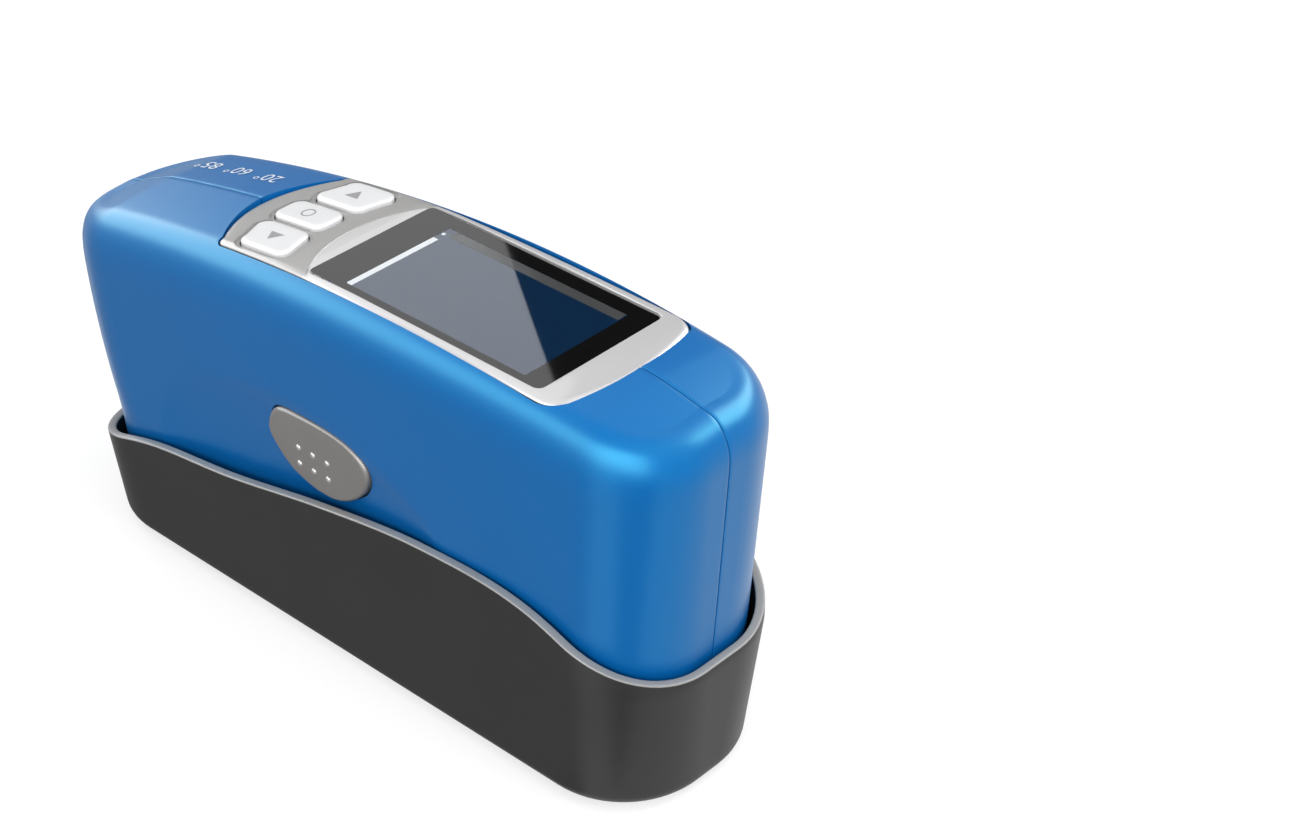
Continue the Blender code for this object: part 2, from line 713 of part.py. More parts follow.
def make_housing(paint):
    """Two moulded halves with openings, ledges and screw bosses."""
    shell = housing_solid("shell", 0.0, SOLE_Z, SKIN_DETAIL)
    cut(shell, housing_solid("core", WALL, SOLE_Z - 3, CORE_DETAIL))
    opening = upright("plate_hole", bezel_outline(GAP))
    combine(opening, over(lambda x: plate_top(x) - TOP_PLATE_DEPTH - GAP), "INTERSECT")
    cut(shell, opening)
    around = 1 + GAP / 10
    cut(shell, loft("button_hole", [button_ring(around, y)
                                    for y in (-TOP_HALF_WIDTH / 2, -TOP_HALF_WIDTH - 9)]))
    slot = SOCKET_HALF_WIDTH + SOCKET_ROOM
    tall = SOCKET_HALF_HEIGHT + SOCKET_ROOM
    cut(shell, box("socket_hole", (-LENGTH / 2 - 2, -slot, SOCKET_Z - tall),
                   (-LENGTH / 2 + 9, slot, SOCKET_Z + tall)))
    board_low = board_top() - BOARD_THICK - GAP
    plate_low = TOP_PLATE_Z - TOP_PLATE_DEPTH - GAP - 0.1
    for name, side in (("housing_left", 1), ("housing_right", -1)):
        half = new_object(name, shell.data.copy())
        combine(half, side_block("half_space", side, (-LENGTH, SEAM / 2, -10), (LENGTH, LENGTH, 2 * CREST_Z)),
                "INTERSECT")
        add_bosses(half, side)
        add_ledge(half, side, (BOARD_REAR + 6, BOARD_HALF - 1.6, board_low - 2),
                  (BOARD_FRONT - 6, TOP_HALF_WIDTH - 1.5, board_low))
        add_ledge(half, side, (WINDOW_REAR + 6, BEZEL_FRONT_HALF - 1.6, plate_low - 2),
                  (WINDOW_FRONT - 3, TOP_HALF_WIDTH - 1, plate_low))
        add_ledge(half, side, (-LENGTH / 2 + 1, SEAM / 2, SOCKET_Z - tall - 2.2),
                  (SOCKET_REAR_MARGIN + SOCKET_DEPTH + 2 - LENGTH / 2, SOCKET_HALF_WIDTH + 1.5,
                   SOCKET_Z - tall))
        half.data.materials.clear()
        half.data.materials.append(paint)
        tidy(half)
    mesh = shell.data
    bpy.data.objects.remove(shell)
    bpy.data.meshes.remove(mesh)


def base_ring(z, inset):
    """Plan outline of the calibration base at a height."""
    drop = max(RIM_LEVEL - z, 0.0)
    half_length = BASE_HALF_LENGTH - drop * BASE_DRAFT - inset
    half_width = BASE_HALF_WIDTH - drop * BASE_WIDTH_DRAFT - inset
    corner = BASE_CORNER - inset
    return rounded_plan(BASE_X + half_length, BASE_X - half_length, half_width, corner, corner, (1, 8, 14))


def rim_height(x):
    """Height of the rim of the base along its length."""
    return spline(RIM_HEIGHTS, (x - BASE_X + BASE_HALF_LENGTH) / (2 * BASE_HALF_LENGTH))


def make_base(plastic):
    """Tub with a thin wall, rising rim, rounded bottom edge and support pillars."""
    guide = base_ring(RIM_LEVEL, 0.0)
    steps = 3

    def wall_rings(inset, start):
        rings = []
        for level in range(steps + 1):
            half = []
            for i, (gx, _) in enumerate(guide):
                z = start + (rim_height(gx) - start) * level / steps
                x, y = base_ring(z, inset)[i]
                half.append((x, y, z))
            rings.append(half)
        return rings

    def whole(half):
        return half + [(x, -y, z) for x, y, z in reversed(half[1:-1])]

    rings = []
    for turn in range(5):
        a = math.pi / 2 * turn / 5
        z = BASE_BOTTOM + BASE_EDGE * (1 - math.cos(a))
        inset = BASE_EDGE * (1 - math.sin(a))
        rings.append([(x, y, z) for x, y in base_ring(z, inset)])
    rings += wall_rings(0.0, BASE_BOTTOM + BASE_EDGE)
    rim = rings[-1]
    inner = wall_rings(BASE_WALL, FLOOR_TOP)
    for share in (0.3, 0.7):
        rings.append([(x + (p - x) * share, y + (q - y) * share, z + RIM_CROWN)
                      for (x, y, z), (p, q, _) in zip(rim, inner[-1])])
    rings += list(reversed(inner))
    tub = loft("base_tub", [whole(r) for r in rings])
    pocket = FOOT_RADIUS + GAP
    for spot in corner_spots(PILLAR_X, PILLAR_Y):
        profile = [(PILLAR_TOP_RADIUS + PILLAR_FLARE, FLOOR_TOP - 1), (PILLAR_TOP_RADIUS, SOLE_Z - GAP)]
        join(tub, turned("pillar", profile, None, spot, 20))
    for spot in corner_spots(FOOT_X, FOOT_Y):
        cut(tub, turned("foot_pocket", [(pocket, 0.0), (pocket, FOOT_HEIGHT + GAP)], None, spot, 24))
    room_x, room_y = TILE_LENGTH / 2 + GAP, TILE_WIDTH / 2 + GAP
    cut(tub, box("tile_pocket", (-room_x, -room_y, PAD_Z - GAP / 2), (room_x, room_y, FLOOR_TOP + 5)))
    tub.data.materials.clear()
    tub.data.materials.append(plastic)
    tidy(tub)


def corner_spots(x, y):
    """Places of four equal pieces about the middle of the base."""
    return [Matrix.Translation((BASE_X + sx * x, sy * y, 0)) for sx in (-1, 1) for sy in (-1, 1)]


def make_tile(glass, frame_mat, foam):
    """Black glass standard, its retaining frame and the pad below it."""
    half_x, half_y = TILE_LENGTH / 2, TILE_WIDTH / 2
    box("tile_pad", (PAD_MARGIN - half_x, PAD_MARGIN - half_y, PAD_Z),
        (half_x - PAD_MARGIN, half_y - PAD_MARGIN, PAD_Z + PAD_THICK), foam)
    box("standard_tile", (-half_x, -half_y, TILE_TOP - TILE_THICK), (half_x, half_y, TILE_TOP), glass)
    low = FLOOR_TOP + GAP / 2
    wide_x, wide_y = half_x + TILE_FRAME, half_y + TILE_FRAME
    frame = box("tile_frame", (-wide_x, -wide_y, low), (wide_x, wide_y, SOLE_Z - GAP), frame_mat)
    cut(frame, box("tile_room", (-half_x - GAP, -half_y - GAP, low - 1),
                   (half_x + GAP, half_y + GAP, SOLE_Z + 1)))
    tidy(frame)


def make_feet(rubber):
    """Four rubber feet in their pockets."""
    profile = [(FOOT_RADIUS - FOOT_CHAMFER, 0.0), (FOOT_RADIUS, FOOT_CHAMFER), (FOOT_RADIUS, FOOT_HEIGHT)]
    for number, spot in enumerate(corner_spots(FOOT_X, FOOT_Y), 1):
        turned(f"foot_{number}", profile, rubber, spot, 24)


def make_screw(name, x, y, steel):
    """Countersunk screw with a cross recess, head down."""
    low = SOLE_Z + GAP / 2
    head_top = low + SCREW_HEAD_DEPTH
    end = SOLE_TOP + SCREW_LENGTH
    profile = [(SCREW_HEAD - GAP, low), (SCREW_HEAD, low + GAP), (SCREW_HEAD, head_top),
               (SCREW_SHANK, head_top), (SCREW_SHANK, end - SCREW_POINT), (SCREW_POINT / 3, end)]
    screw = turned(name, profile, steel, Matrix.Translation((x, y, 0)), 16)
    for long, thin in ((CROSS_LONG, CROSS_THIN), (CROSS_THIN, CROSS_LONG)):
        cut(screw, box("cross", (x - long, y - thin, SOLE_Z - 1), (x + long, y + thin, low + CROSS_DEPTH)))
    tidy(screw)


def make_sole(black, steel):
    """Bottom plate with the bevelled measuring aperture, and its four screws."""
    outline = mirror_outline([(x, y * barrel(x, SOLE_Z)) for x, y in
                              rounded_plan(*plan_size(SOLE_Z, WALL + GAP), CORE_DETAIL["counts"])])
    plate = plan_loft("bottom_plate", outline, SOLE_Z, SOLE_TOP)
    rings = []
    radius = APERTURE_WIDTH / 2
    for half, z in ((APERTURE_HALF - APERTURE_BEVEL, SOLE_Z - 1), (APERTURE_HALF, SOLE_Z),
                    (APERTURE_TOP_HALF, SOLE_TOP), (APERTURE_TOP_HALF + 4, SOLE_TOP + 1)):
        ends = [math.pi * k / 8 - math.pi / 2 for k in range(9)]
        right = [(half - radius + radius * math.cos(a), radius * math.sin(a), z) for a in ends]
        rings.append(right + [(-x, -y, z) for x, y, z in right])
    cut(plate, loft("aperture", rings))
    number = 1
    for x in (SCREW_REAR, SCREW_FRONT):
        for y in (-SCREW_Y, SCREW_Y):
            spot = Matrix.Translation((x, y, 0))
            sink, hole = SCREW_HEAD + GAP, SCREW_SHANK + GAP
            sink_top = SOLE_Z + GAP / 2 + SCREW_HEAD_DEPTH + GAP / 2
            cut(plate, turned("sink", [(sink, SOLE_Z - 1), (sink, sink_top)], None, spot, 16))
            cut(plate, turned("hole", [(hole, SOLE_Z), (hole, SOLE_TOP + 1)], None, spot, 16))
            make_screw(f"bottom_screw_{number}", x, y, steel)
            number += 1
    plate.data.materials.clear()
    plate.data.materials.append(black)
    tidy(plate)


def make_bezel(silver):
    """Top plate with the window rebate, the lobed key hollow and three key holes."""
    plate = upright("top_bezel", bezel_outline(0.0))
    combine(plate, slab("body", lambda x: plate_top(x) - TOP_PLATE_DEPTH, plate_top), "INTERSECT")
    rebate = TOP_PLATE_Z - WINDOW_RECESS - WINDOW_THICK - GAP
    cut(plate, plan_loft("rebate", rounded_box(GAP), rebate, CREST_Z + 5))
    cut(plate, upright("view", rounded_box(-WINDOW_LEDGE)))
    hollow = None
    for low_y, high_y in KEY_SIDES.values():
        lobe = upright("hollow", key_band(KEY_HOLLOW_EDGE, low_y, high_y))
        if hollow is None:
            hollow = lobe
        else:
            join(hollow, lobe)
    combine(hollow, over(lambda x: plate_top(x) - KEY_HOLLOW), "INTERSECT")
    cut(plate, hollow)
    for low_y, high_y in KEY_SIDES.values():
        cut(plate, upright("key_hole", key_band(GAP, low_y, high_y)))
    plate.data.materials.clear()
    plate.data.materials.append(silver)
    tidy(plate)


def make_window(glass):
    """Window glass in the rebate of the top plate."""
    top = TOP_PLATE_Z - WINDOW_RECESS
    shade_round(plan_loft("screen_window", rounded_box(0.0), top - WINDOW_THICK, top, glass))


def make_keys(white):
    """Three key caps with crowned tops, retaining flanges and switch stems."""
    under = TOP_PLATE_DEPTH + GAP
    for name, (low_y, high_y) in KEY_SIDES.items():
        x, y = key_centre(name)
        rings = []
        for grow, rise in ((FLANGE_EDGE, -under - FLANGE_THICK), (FLANGE_EDGE, -under),
                           (0.0, -under), (0.0, 0.0),
                           (-KEY_RISE / 6, KEY_RISE / 2), (-KEY_RISE * 0.7, KEY_RISE * 0.85),
                           (-KEY_RISE * 2, KEY_RISE)):
            rings.append([(px, py, plate_top(px) + rise) for px, py in key_band(grow, low_y, high_y)])
        cap = loft(name, rings)
        low = board_top() + SWITCH_HEIGHT + PLUNGER_RISE + KEY_TRAVEL + GAP
        profile = [(STEM_RADIUS, low), (STEM_RADIUS, plate_top(x) - 2)]
        join(cap, turned("stem", profile, None, Matrix.Translation((x, y, 0)), 16))
        cap.data.materials.clear()
        cap.data.materials.append(white)
        tidy(cap)
        set_origin(cap, (x, y, plate_top(x)))


def make_button(grey):
    """Leaf-shaped measure button with a bevelled edge, six bumps and a stem."""
    face = button_face()
    inner = face - BUTTON_DEPTH
    rings = []
    for factor, y in ((BUTTON_FLANGE_GROW, inner - BUTTON_FLANGE), (BUTTON_FLANGE_GROW, inner), (1.0, inner),
                      (1.0, face - BUTTON_BEVEL), (0.97, face - BUTTON_BEVEL * 0.4),
                      (0.90, face - BUTTON_BEVEL * 0.1), (0.6, face)):
        rings.append(button_ring(factor, -y))
    cap = loft("measure_button", rings)
    r = BUMP_RADIUS
    profile = [(r, -0.6), (r, 0.0), (r * 0.7, r * 0.42), (r * 0.2, r * 0.58)]
    for row in (-1, 1):
        for column in (-1, 0, 1):
            place = Matrix.Translation((BUMP_X + column * BUMP_PITCH, -face, BUMP_Z + row * BUMP_ROW / 2))
            join(cap, turned("bump", profile, None, place @ Matrix.Rotation(math.pi / 2, 4, "X"), 10))
    start = inner - BUTTON_FLANGE / 2
    place = Matrix.Translation((BUTTON_X, -start, SIDE_SWITCH_Z)) @ Matrix.Rotation(-math.pi / 2, 4, "X")
    reach = start - (side_switch_face() + BUTTON_TRAVEL + GAP)
    join(cap, turned("stem", [(STEM_RADIUS, 0.0), (STEM_RADIUS, reach)], None, place, 16))
    cap.data.materials.clear()
    cap.data.materials.append(grey)
    tidy(cap)
    set_origin(cap, (BUTTON_X, -face, BUTTON_Z))


def on_arm(angle, along):
    """Place in the side view at a distance along the receiver arm of one angle."""
    a = math.radians(angle)
    return along * math.sin(a), SOLE_Z + along * math.cos(a)


def block_top():
    """Height of the optics block, above the end of the steepest bore."""
    return on_arm(min(ANGLES), BORE_END[min(ANGLES)])[1] + BLOCK_MARGIN


def make_optics(block_mat, lens_mat, led_mat, cell_mat):
    """Optics block with crossing bores, and source and receiver parts in each arm."""
    low = SOLE_TOP + GAP
    end_x = on_arm(85, BORE_END[85])[0] + BLOCK_END_MARGIN
    mid_x, mid_z = on_arm(60, BORE_END[60])
    half = [(end_x, low), (end_x, BLOCK_END_HEIGHT), (end_x - BLOCK_STEP, BLOCK_END_HEIGHT + BLOCK_STEP_RISE),
            (mid_x + BLOCK_MARGIN, mid_z + BLOCK_MARGIN / 2),
            (BLOCK_TOP_HALF + BLOCK_SLOPE, block_top() - BLOCK_STEP), (BLOCK_TOP_HALF, block_top())]
    profile = half + [(-x, z) for x, z in reversed(half)]
    block = loft("optics_block", [[(x, y, z) for x, z in profile]
                                  for y in (BLOCK_HALF_WIDTH, -BLOCK_HALF_WIDTH)])
    for angle in ANGLES:
        radius, end = BORE[angle], BORE_END[angle]
        for side, tag in ((-1, "source"), (1, "receiver")):
            axis = arm(angle, side)
            cut(block, bar(axis, radius, BORE_START, end + BLOCK_SLOPE))
            place = Matrix.Translation((0, 0, SOLE_Z)) @ axis.to_track_quat("Z", "Y").to_matrix().to_4x4()
            r = radius - GAP
            back = end - LENS_BACK[angle]
            thick = r * 0.45
            turned(f"{tag}_lens_{angle}", [(r * 0.5, back - thick), (r, back - thick * 0.6), (r, back),
                                           (r * 0.6, back + thick * 0.3)], lens_mat, place, 16)
            if side < 0:
                shape = [(r * 0.35, end - 4.2), (r * 0.6, end - 3.6), (r * 0.68, end - 2.6),
                         (r * 0.68, end - 1), (r, end - 1), (r, end)]
                turned(f"source_led_{angle}", shape, led_mat, place, 16)
            else:
                shape = [(r * 0.8, end - 3), (r * 0.8, end - 0.8), (r, end - 0.8), (r, end)]
                turned(f"receiver_{angle}", shape, cell_mat, place, 16)
    block.data.materials.clear()
    block.data.materials.append(block_mat)
    tidy(block)


def side_switch_face():
    """How far the measure switch's plunger reaches from the centre plane."""
    return BLOCK_HALF_WIDTH + GAP + BOARD_THICK + GAP / 2 + SIDE_SWITCH_DEPTH


def make_switch(name, x, y, black):
    """Key switch with a round plunger, standing on the main board."""
    low = board_top()
    switch = box(name, (x - SWITCH_HALF, y - SWITCH_HALF, low + GAP / 2),
                 (x + SWITCH_HALF, y + SWITCH_HALF, low + SWITCH_HEIGHT), black)
    profile = [(PLUNGER_RADIUS, low + 1), (PLUNGER_RADIUS, low + SWITCH_HEIGHT + PLUNGER_RISE)]
    join(switch, turned("plunger", profile, None, Matrix.Translation((x, y, 0)), 16))
    tidy(switch)


def make_side_switch(green, black):
    """Small board on the optics block with the measure button's switch."""
    face = BLOCK_HALF_WIDTH + GAP
    back = face + BOARD_THICK
    box("side_board", (BUTTON_X - SIDE_BOARD_HALF, -back, SIDE_SWITCH_Z - SIDE_BOARD_BELOW),
        (BUTTON_X + SIDE_BOARD_HALF, -face, SIDE_SWITCH_Z + SIDE_BOARD_ABOVE), green)
    reach = side_switch_face()
    body = reach - PLUNGER_RISE
    switch = box("measure_switch", (BUTTON_X - SWITCH_HALF, -body, SIDE_SWITCH_Z - SWITCH_HALF),
                 (BUTTON_X + SWITCH_HALF, -back - GAP / 2, SIDE_SWITCH_Z + SWITCH_HALF), black)
    place = Matrix.Translation((BUTTON_X, -body + GAP, SIDE_SWITCH_Z)) @ Matrix.Rotation(math.pi / 2, 4, "X")
    stem = [(SIDE_PLUNGER_RADIUS, 0.0), (SIDE_PLUNGER_RADIUS, PLUNGER_RISE + GAP)]
    join(switch, turned("plunger", stem, None, place, 16))
    tidy(switch)


def make_display(black, white):
    """Display panel in a carrier frame on the main board."""
    low = board_top()
    rear, front = WINDOW_REAR + CARRIER_REAR_MARGIN, WINDOW_FRONT - CARRIER_FRONT_MARGIN
    half = WINDOW_HALF - CARRIER_SIDE_MARGIN
    top = plate_top(rear - CARRIER_WALL) - TOP_PLATE_DEPTH - GAP
    carrier = box("lcd_carrier", (rear - CARRIER_WALL, -half - CARRIER_SIDE_WALL, low + GAP / 2),
                  (front + CARRIER_WALL, half + CARRIER_SIDE_WALL, top), white)
    cut(carrier, box("room", (rear, -half, low + PANEL_LIFT), (front, half, top + 3)))
    tidy(carrier)
    box("lcd_panel", (rear + GAP, GAP - half, low + PANEL_LIFT + GAP),
        (front - GAP, half - GAP, top - PANEL_SINK), black)


def make_battery(wrap):
    """Battery pack on top of the optics block."""
    low = block_top() + GAP
    cell = box("battery", (BATTERY_X - BATTERY_LENGTH / 2, -BATTERY_HALF_WIDTH, low),
               (BATTERY_X + BATTERY_LENGTH / 2, BATTERY_HALF_WIDTH, low + BATTERY_HEIGHT), wrap)
    bevel = cell.modifiers.new("round", "BEVEL")
    bevel.width = BATTERY_ROUND * MM
    bevel.segments = 3


def make_socket(steel):
    """Charging socket at the rear end."""
    rear = SOCKET_REAR_MARGIN - LENGTH / 2
    wide, tall = SOCKET_HALF_WIDTH, SOCKET_HALF_HEIGHT
    socket = box("usb_socket", (rear, -wide, SOCKET_Z - tall),
                 (rear + SOCKET_DEPTH, wide, SOCKET_Z + tall), steel)
    wide -= SOCKET_WALL
    tall -= SOCKET_WALL
    cut(socket, box("mouth", (rear - 1, -wide, SOCKET_Z - tall),
                    (rear + SOCKET_DEPTH - SOCKET_BACK, wide, SOCKET_Z + tall)))
    tidy(socket)


def make_electronics(green, black, white):
    """Main board with its switches, display, processor and buzzer."""
    low = board_top() - BOARD_THICK
    box("main_board", (BOARD_REAR, -BOARD_HALF, low), (BOARD_FRONT, BOARD_HALF, board_top()), green)
    for name in KEY_SIDES:
        make_switch("key_switch" + name[3:], *key_centre(name), black)
    make_display(black, white)
    top = low - GAP
    box("processor", (PROCESSOR_X - PROCESSOR_HALF, -PROCESSOR_HALF, top - PROCESSOR_HEIGHT),
        (PROCESSOR_X + PROCESSOR_HALF, PROCESSOR_HALF, top), black)
    turned("buzzer", [(BUZZER_RADIUS, top - BUZZER_HEIGHT), (BUZZER_RADIUS, top)], black,
           Matrix.Translation((BUZZER_X, 0, 0)), 24)
    make_side_switch(green, black)


def build():
    """Clear the scene and make every piece."""
    for obj in list(bpy.data.objects):
        bpy.data.objects.remove(obj, do_unlink=True)
    paint = material("blue_paint", (0.015, 0.16, 0.42), 0.38)
    charcoal = material("charcoal_plastic", (0.045, 0.045, 0.05), 0.55)
    silver = material("silver_paint", (0.6, 0.6, 0.6), 0.35, 0.3)
    white = material("white_plastic", (0.82, 0.82, 0.84), 0.4)
    grey = material("warm_grey", (0.24, 0.23, 0.22), 0.45)
    black_glass = material("black_glass", (0.01, 0.01, 0.012), 0.05)
    black = material("black_plastic", (0.02, 0.02, 0.02), 0.6)
    rubber = material("rubber", (0.02, 0.02, 0.02), 0.9)
    foam = material("foam", (0.1, 0.1, 0.1), 0.95)
    steel = material("steel", (0.55, 0.55, 0.56), 0.3, 1.0)
    green = material("circuit_board", (0.01, 0.12, 0.04), 0.5)
    lens = material("lens_glass", (0.75, 0.8, 0.82), 0.05)
    led = material("lamp_resin", (0.8, 0.75, 0.55), 0.2)
    cell = material("receiver_can", (0.4, 0.4, 0.42), 0.35, 0.8)
    wrap = material("battery_wrap", (0.05, 0.1, 0.3), 0.5)
    make_base(charcoal)
    make_tile(black_glass, black, foam)
    make_feet(rubber)
    make_housing(paint)
    make_sole(black, steel)
    make_bezel(silver)
    make_window(black_glass)
    make_keys(white)
    make_button(grey)
    make_optics(black, lens, led, cell)
    make_electronics(green, black, white)
    make_battery(wrap)
    make_socket(steel)


build()
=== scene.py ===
"""Looks of a hand-held gloss meter that stands in its calibration base.

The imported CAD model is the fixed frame. This script replaces its faceted skins with fine ones of the
same form, gives every piece a procedural finish, and sets up a plain studio with the photograph's view.
Lengths are in millimetres unless a name says otherwise; +X is the front end, -Y the button's side.
"""
import logging
import math
from dataclasses import dataclass, field
from enum import Enum
from typing import Callable, Iterable, Sequence

import bmesh
import bpy
from mathutils import Matrix, Vector
from mathutils.bvhtree import BVHTree


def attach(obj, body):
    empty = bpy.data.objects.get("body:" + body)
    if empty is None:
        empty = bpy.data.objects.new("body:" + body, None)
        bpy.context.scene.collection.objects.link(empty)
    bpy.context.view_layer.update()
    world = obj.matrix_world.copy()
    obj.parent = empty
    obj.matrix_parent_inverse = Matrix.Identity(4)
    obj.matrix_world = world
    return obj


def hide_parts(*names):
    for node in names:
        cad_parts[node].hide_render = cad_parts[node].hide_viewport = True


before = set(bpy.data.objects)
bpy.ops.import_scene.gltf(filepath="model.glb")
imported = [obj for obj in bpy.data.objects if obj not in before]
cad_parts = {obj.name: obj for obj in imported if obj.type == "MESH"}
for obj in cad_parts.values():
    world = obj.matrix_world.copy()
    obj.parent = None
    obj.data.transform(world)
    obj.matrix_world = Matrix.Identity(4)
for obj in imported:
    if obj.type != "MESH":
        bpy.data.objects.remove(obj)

MM = 0.001
GAP = 0.3
CUT_LOW = 60.0
THROUGH = ((0.0, CUT_LOW), (0.0, 90.0))
OVER = 92.0
log = logging.getLogger("gloss_meter")

Point2 = tuple[float, float]
Point3 = tuple[float, float, float]
Colour = tuple[float, float, float]


class Body(str, Enum):
    """CAD bodies that a piece can ride on."""

    BASE = "base"
    INSTRUMENT = "instrument"
    KEY_UP = "key_up"
    KEY_ENTER = "key_enter"
    KEY_DOWN = "key_down"
    BUTTON = "measure_button"


class Side(Enum):
    """The two housing halves, by the sign of their Y."""

    LEFT = 1
    RIGHT = -1


class Cut(str, Enum):
    """Boolean operations by their Blender names."""

    TAKE = "DIFFERENCE"
    KEEP = "INTERSECT"
    ADD = "UNION"


class NodeGraph:
    """Small helper that adds shader nodes and links them."""

    def __init__(self, name: str) -> None:
        """Start a node material.

        Args:
            name: the material's name.
        """
        self.material = bpy.data.materials.new(name)
        self.material.use_nodes = True
        self.tree = self.material.node_tree
        self.shader = self.tree.nodes["Principled BSDF"]
        self.output = self.tree.nodes["Material Output"]

    @classmethod
    def of(cls, tree: bpy.types.NodeTree) -> "NodeGraph":
        """Helper for a tree that isn't a material's.

        Args:
            tree: the node tree.

        Returns:
            The helper.
        """
        graph = cls.__new__(cls)
        graph.tree = tree
        return graph

    def add(self, kind: str, **settings: object) -> bpy.types.Node:
        """Add one node.

        Args:
            kind: the node's Blender type.
            settings: properties to set on the node.

        Returns:
            The new node.
        """
        node = self.tree.nodes.new(kind)
        for key, value in settings.items():
            setattr(node, key, value)
        return node

    def link(self, source: bpy.types.NodeSocket, target: bpy.types.NodeSocket) -> None:
        """Join two sockets."""
        self.tree.links.new(source, target)

    def noise(self, scale: float, detail: float = 4.0, stretch: Point3 = (1, 1, 1)) -> bpy.types.NodeSocket:
        """Noise in object space.

        Args:
            scale: cells per metre.
            detail: octaves of the noise.
            stretch: scale of each axis before the noise.

        Returns:
            The noise value from 0 to 1.
        """
        space = self.add("ShaderNodeTexCoord")
        mapping = self.add("ShaderNodeMapping")
        mapping.inputs["Scale"].default_value = stretch
        texture = self.add("ShaderNodeTexNoise")
        texture.inputs["Scale"].default_value = scale
        texture.inputs["Detail"].default_value = detail
        self.link(space.outputs["Object"], mapping.inputs["Vector"])
        self.link(mapping.outputs["Vector"], texture.inputs["Vector"])
        return texture.outputs["Fac"]

    def ramp(self, value: bpy.types.NodeSocket, low: float, high: float,
             out_low: float, out_high: float) -> bpy.types.NodeSocket:
        """Map a value from one range to another, clamped.

        Args:
            value: the socket to map.
            low: input value that gives out_low.
            high: input value that gives out_high.
            out_low: first output value.
            out_high: last output value.

        Returns:
            The mapped value.
        """
        node = self.add("ShaderNodeMapRange")
        node.inputs["From Min"].default_value = low
        node.inputs["From Max"].default_value = high
        node.inputs["To Min"].default_value = out_low
        node.inputs["To Max"].default_value = out_high
        self.link(value, node.inputs["Value"])
        return node.outputs["Result"]

    def mix(self, factor: bpy.types.NodeSocket, first: Colour, second: Colour) -> bpy.types.NodeSocket:
        """Mix two plain colours by a factor.

        Args:
            factor: 0 gives the first colour and 1 the second.
            first: first colour.
            second: second colour.

        Returns:
            The mixed colour.
        """
        node = self.add("ShaderNodeMix", data_type="RGBA")
        node.inputs["A"].default_value = (*first, 1.0)
        node.inputs["B"].default_value = (*second, 1.0)
        self.link(factor, node.inputs["Factor"])
        return node.outputs["Result"]

    def bump(self, height: bpy.types.NodeSocket, depth_mm: float) -> None:
        """Feed a height into the shader's normal.

        Args:
            height: value from 0 to 1.
            depth_mm: depth of the relief in millimetres.
        """
        node = self.add("ShaderNodeBump")
        node.inputs["Strength"].default_value = 1.0
        node.inputs["Distance"].default_value = depth_mm * MM
        self.link(height, node.inputs["Height"])
        self.link(node.outputs["Normal"], self.shader.inputs["Normal"])


@dataclass(frozen=True)
class Finish:
    """Moulded or painted surface with a fine grain and slow patches.

    Attributes:
        slot: the record's material slot.
        colour: main colour, linear.
        shade: second colour of the slow patches, linear.
        rough: lowest roughness.
        rough_span: how much rougher the patches get.
        metal: metallic value.
        coat: weight of a clear coat.
        coat_rough: roughness of the coat.
        shine: strength of the plain reflection, 0.5 for common plastic.
        tint: colour of the plain reflection seen head on.
        grain: grain cells per metre.
        grain_mm: grain depth in millimetres.
        patch: patch cells per metre.
        stretch: scale of each axis of the grain.
        print_only: a print on glass, which only its front shows.
    """

    slot: str
    colour: Colour
    shade: Colour
    rough: float = 0.4
    rough_span: float = 0.06
    metal: float = 0.0
    coat: float = 0.0
    coat_rough: float = 0.1
    shine: float = 0.5
    tint: Colour = (1.0, 1.0, 1.0)
    grain: float = 6000.0
    grain_mm: float = 0.004
    patch: float = 60.0
    stretch: Point3 = (1.0, 1.0, 1.0)
    print_only: bool = False

    def build(self, name: str) -> bpy.types.Material:
        """Make the material.

        Args:
            name: the material's name.

        Returns:
            The node material.
        """
        graph = NodeGraph(name)
        patches = graph.noise(self.patch, 3.0)
        graph.link(graph.mix(graph.ramp(patches, 0.35, 0.65, 0.0, 1.0), self.colour, self.shade),
                   graph.shader.inputs["Base Color"])
        grain = graph.noise(self.grain, 2.0, self.stretch)
        graph.link(graph.ramp(grain, 0.3, 0.7, self.rough, self.rough + self.rough_span),
                   graph.shader.inputs["Roughness"])
        graph.bump(grain, self.grain_mm)
        graph.shader.inputs["Metallic"].default_value = self.metal
        graph.shader.inputs["Coat Weight"].default_value = self.coat
        graph.shader.inputs["Coat Roughness"].default_value = self.coat_rough
        graph.shader.inputs["Specular IOR Level"].default_value = self.shine
        graph.shader.inputs["Specular Tint"].default_value = (*self.tint, 1.0)
        if self.print_only:
            blend = graph.add("ShaderNodeMixShader")
            graph.link(graph.add("ShaderNodeNewGeometry").outputs["Backfacing"], blend.inputs["Fac"])
            graph.link(graph.shader.outputs["BSDF"], blend.inputs[1])
            graph.link(graph.add("ShaderNodeBsdfTransparent").outputs["BSDF"], blend.inputs[2])
            graph.link(blend.outputs["Shader"], graph.output.inputs["Surface"])
        return graph.material


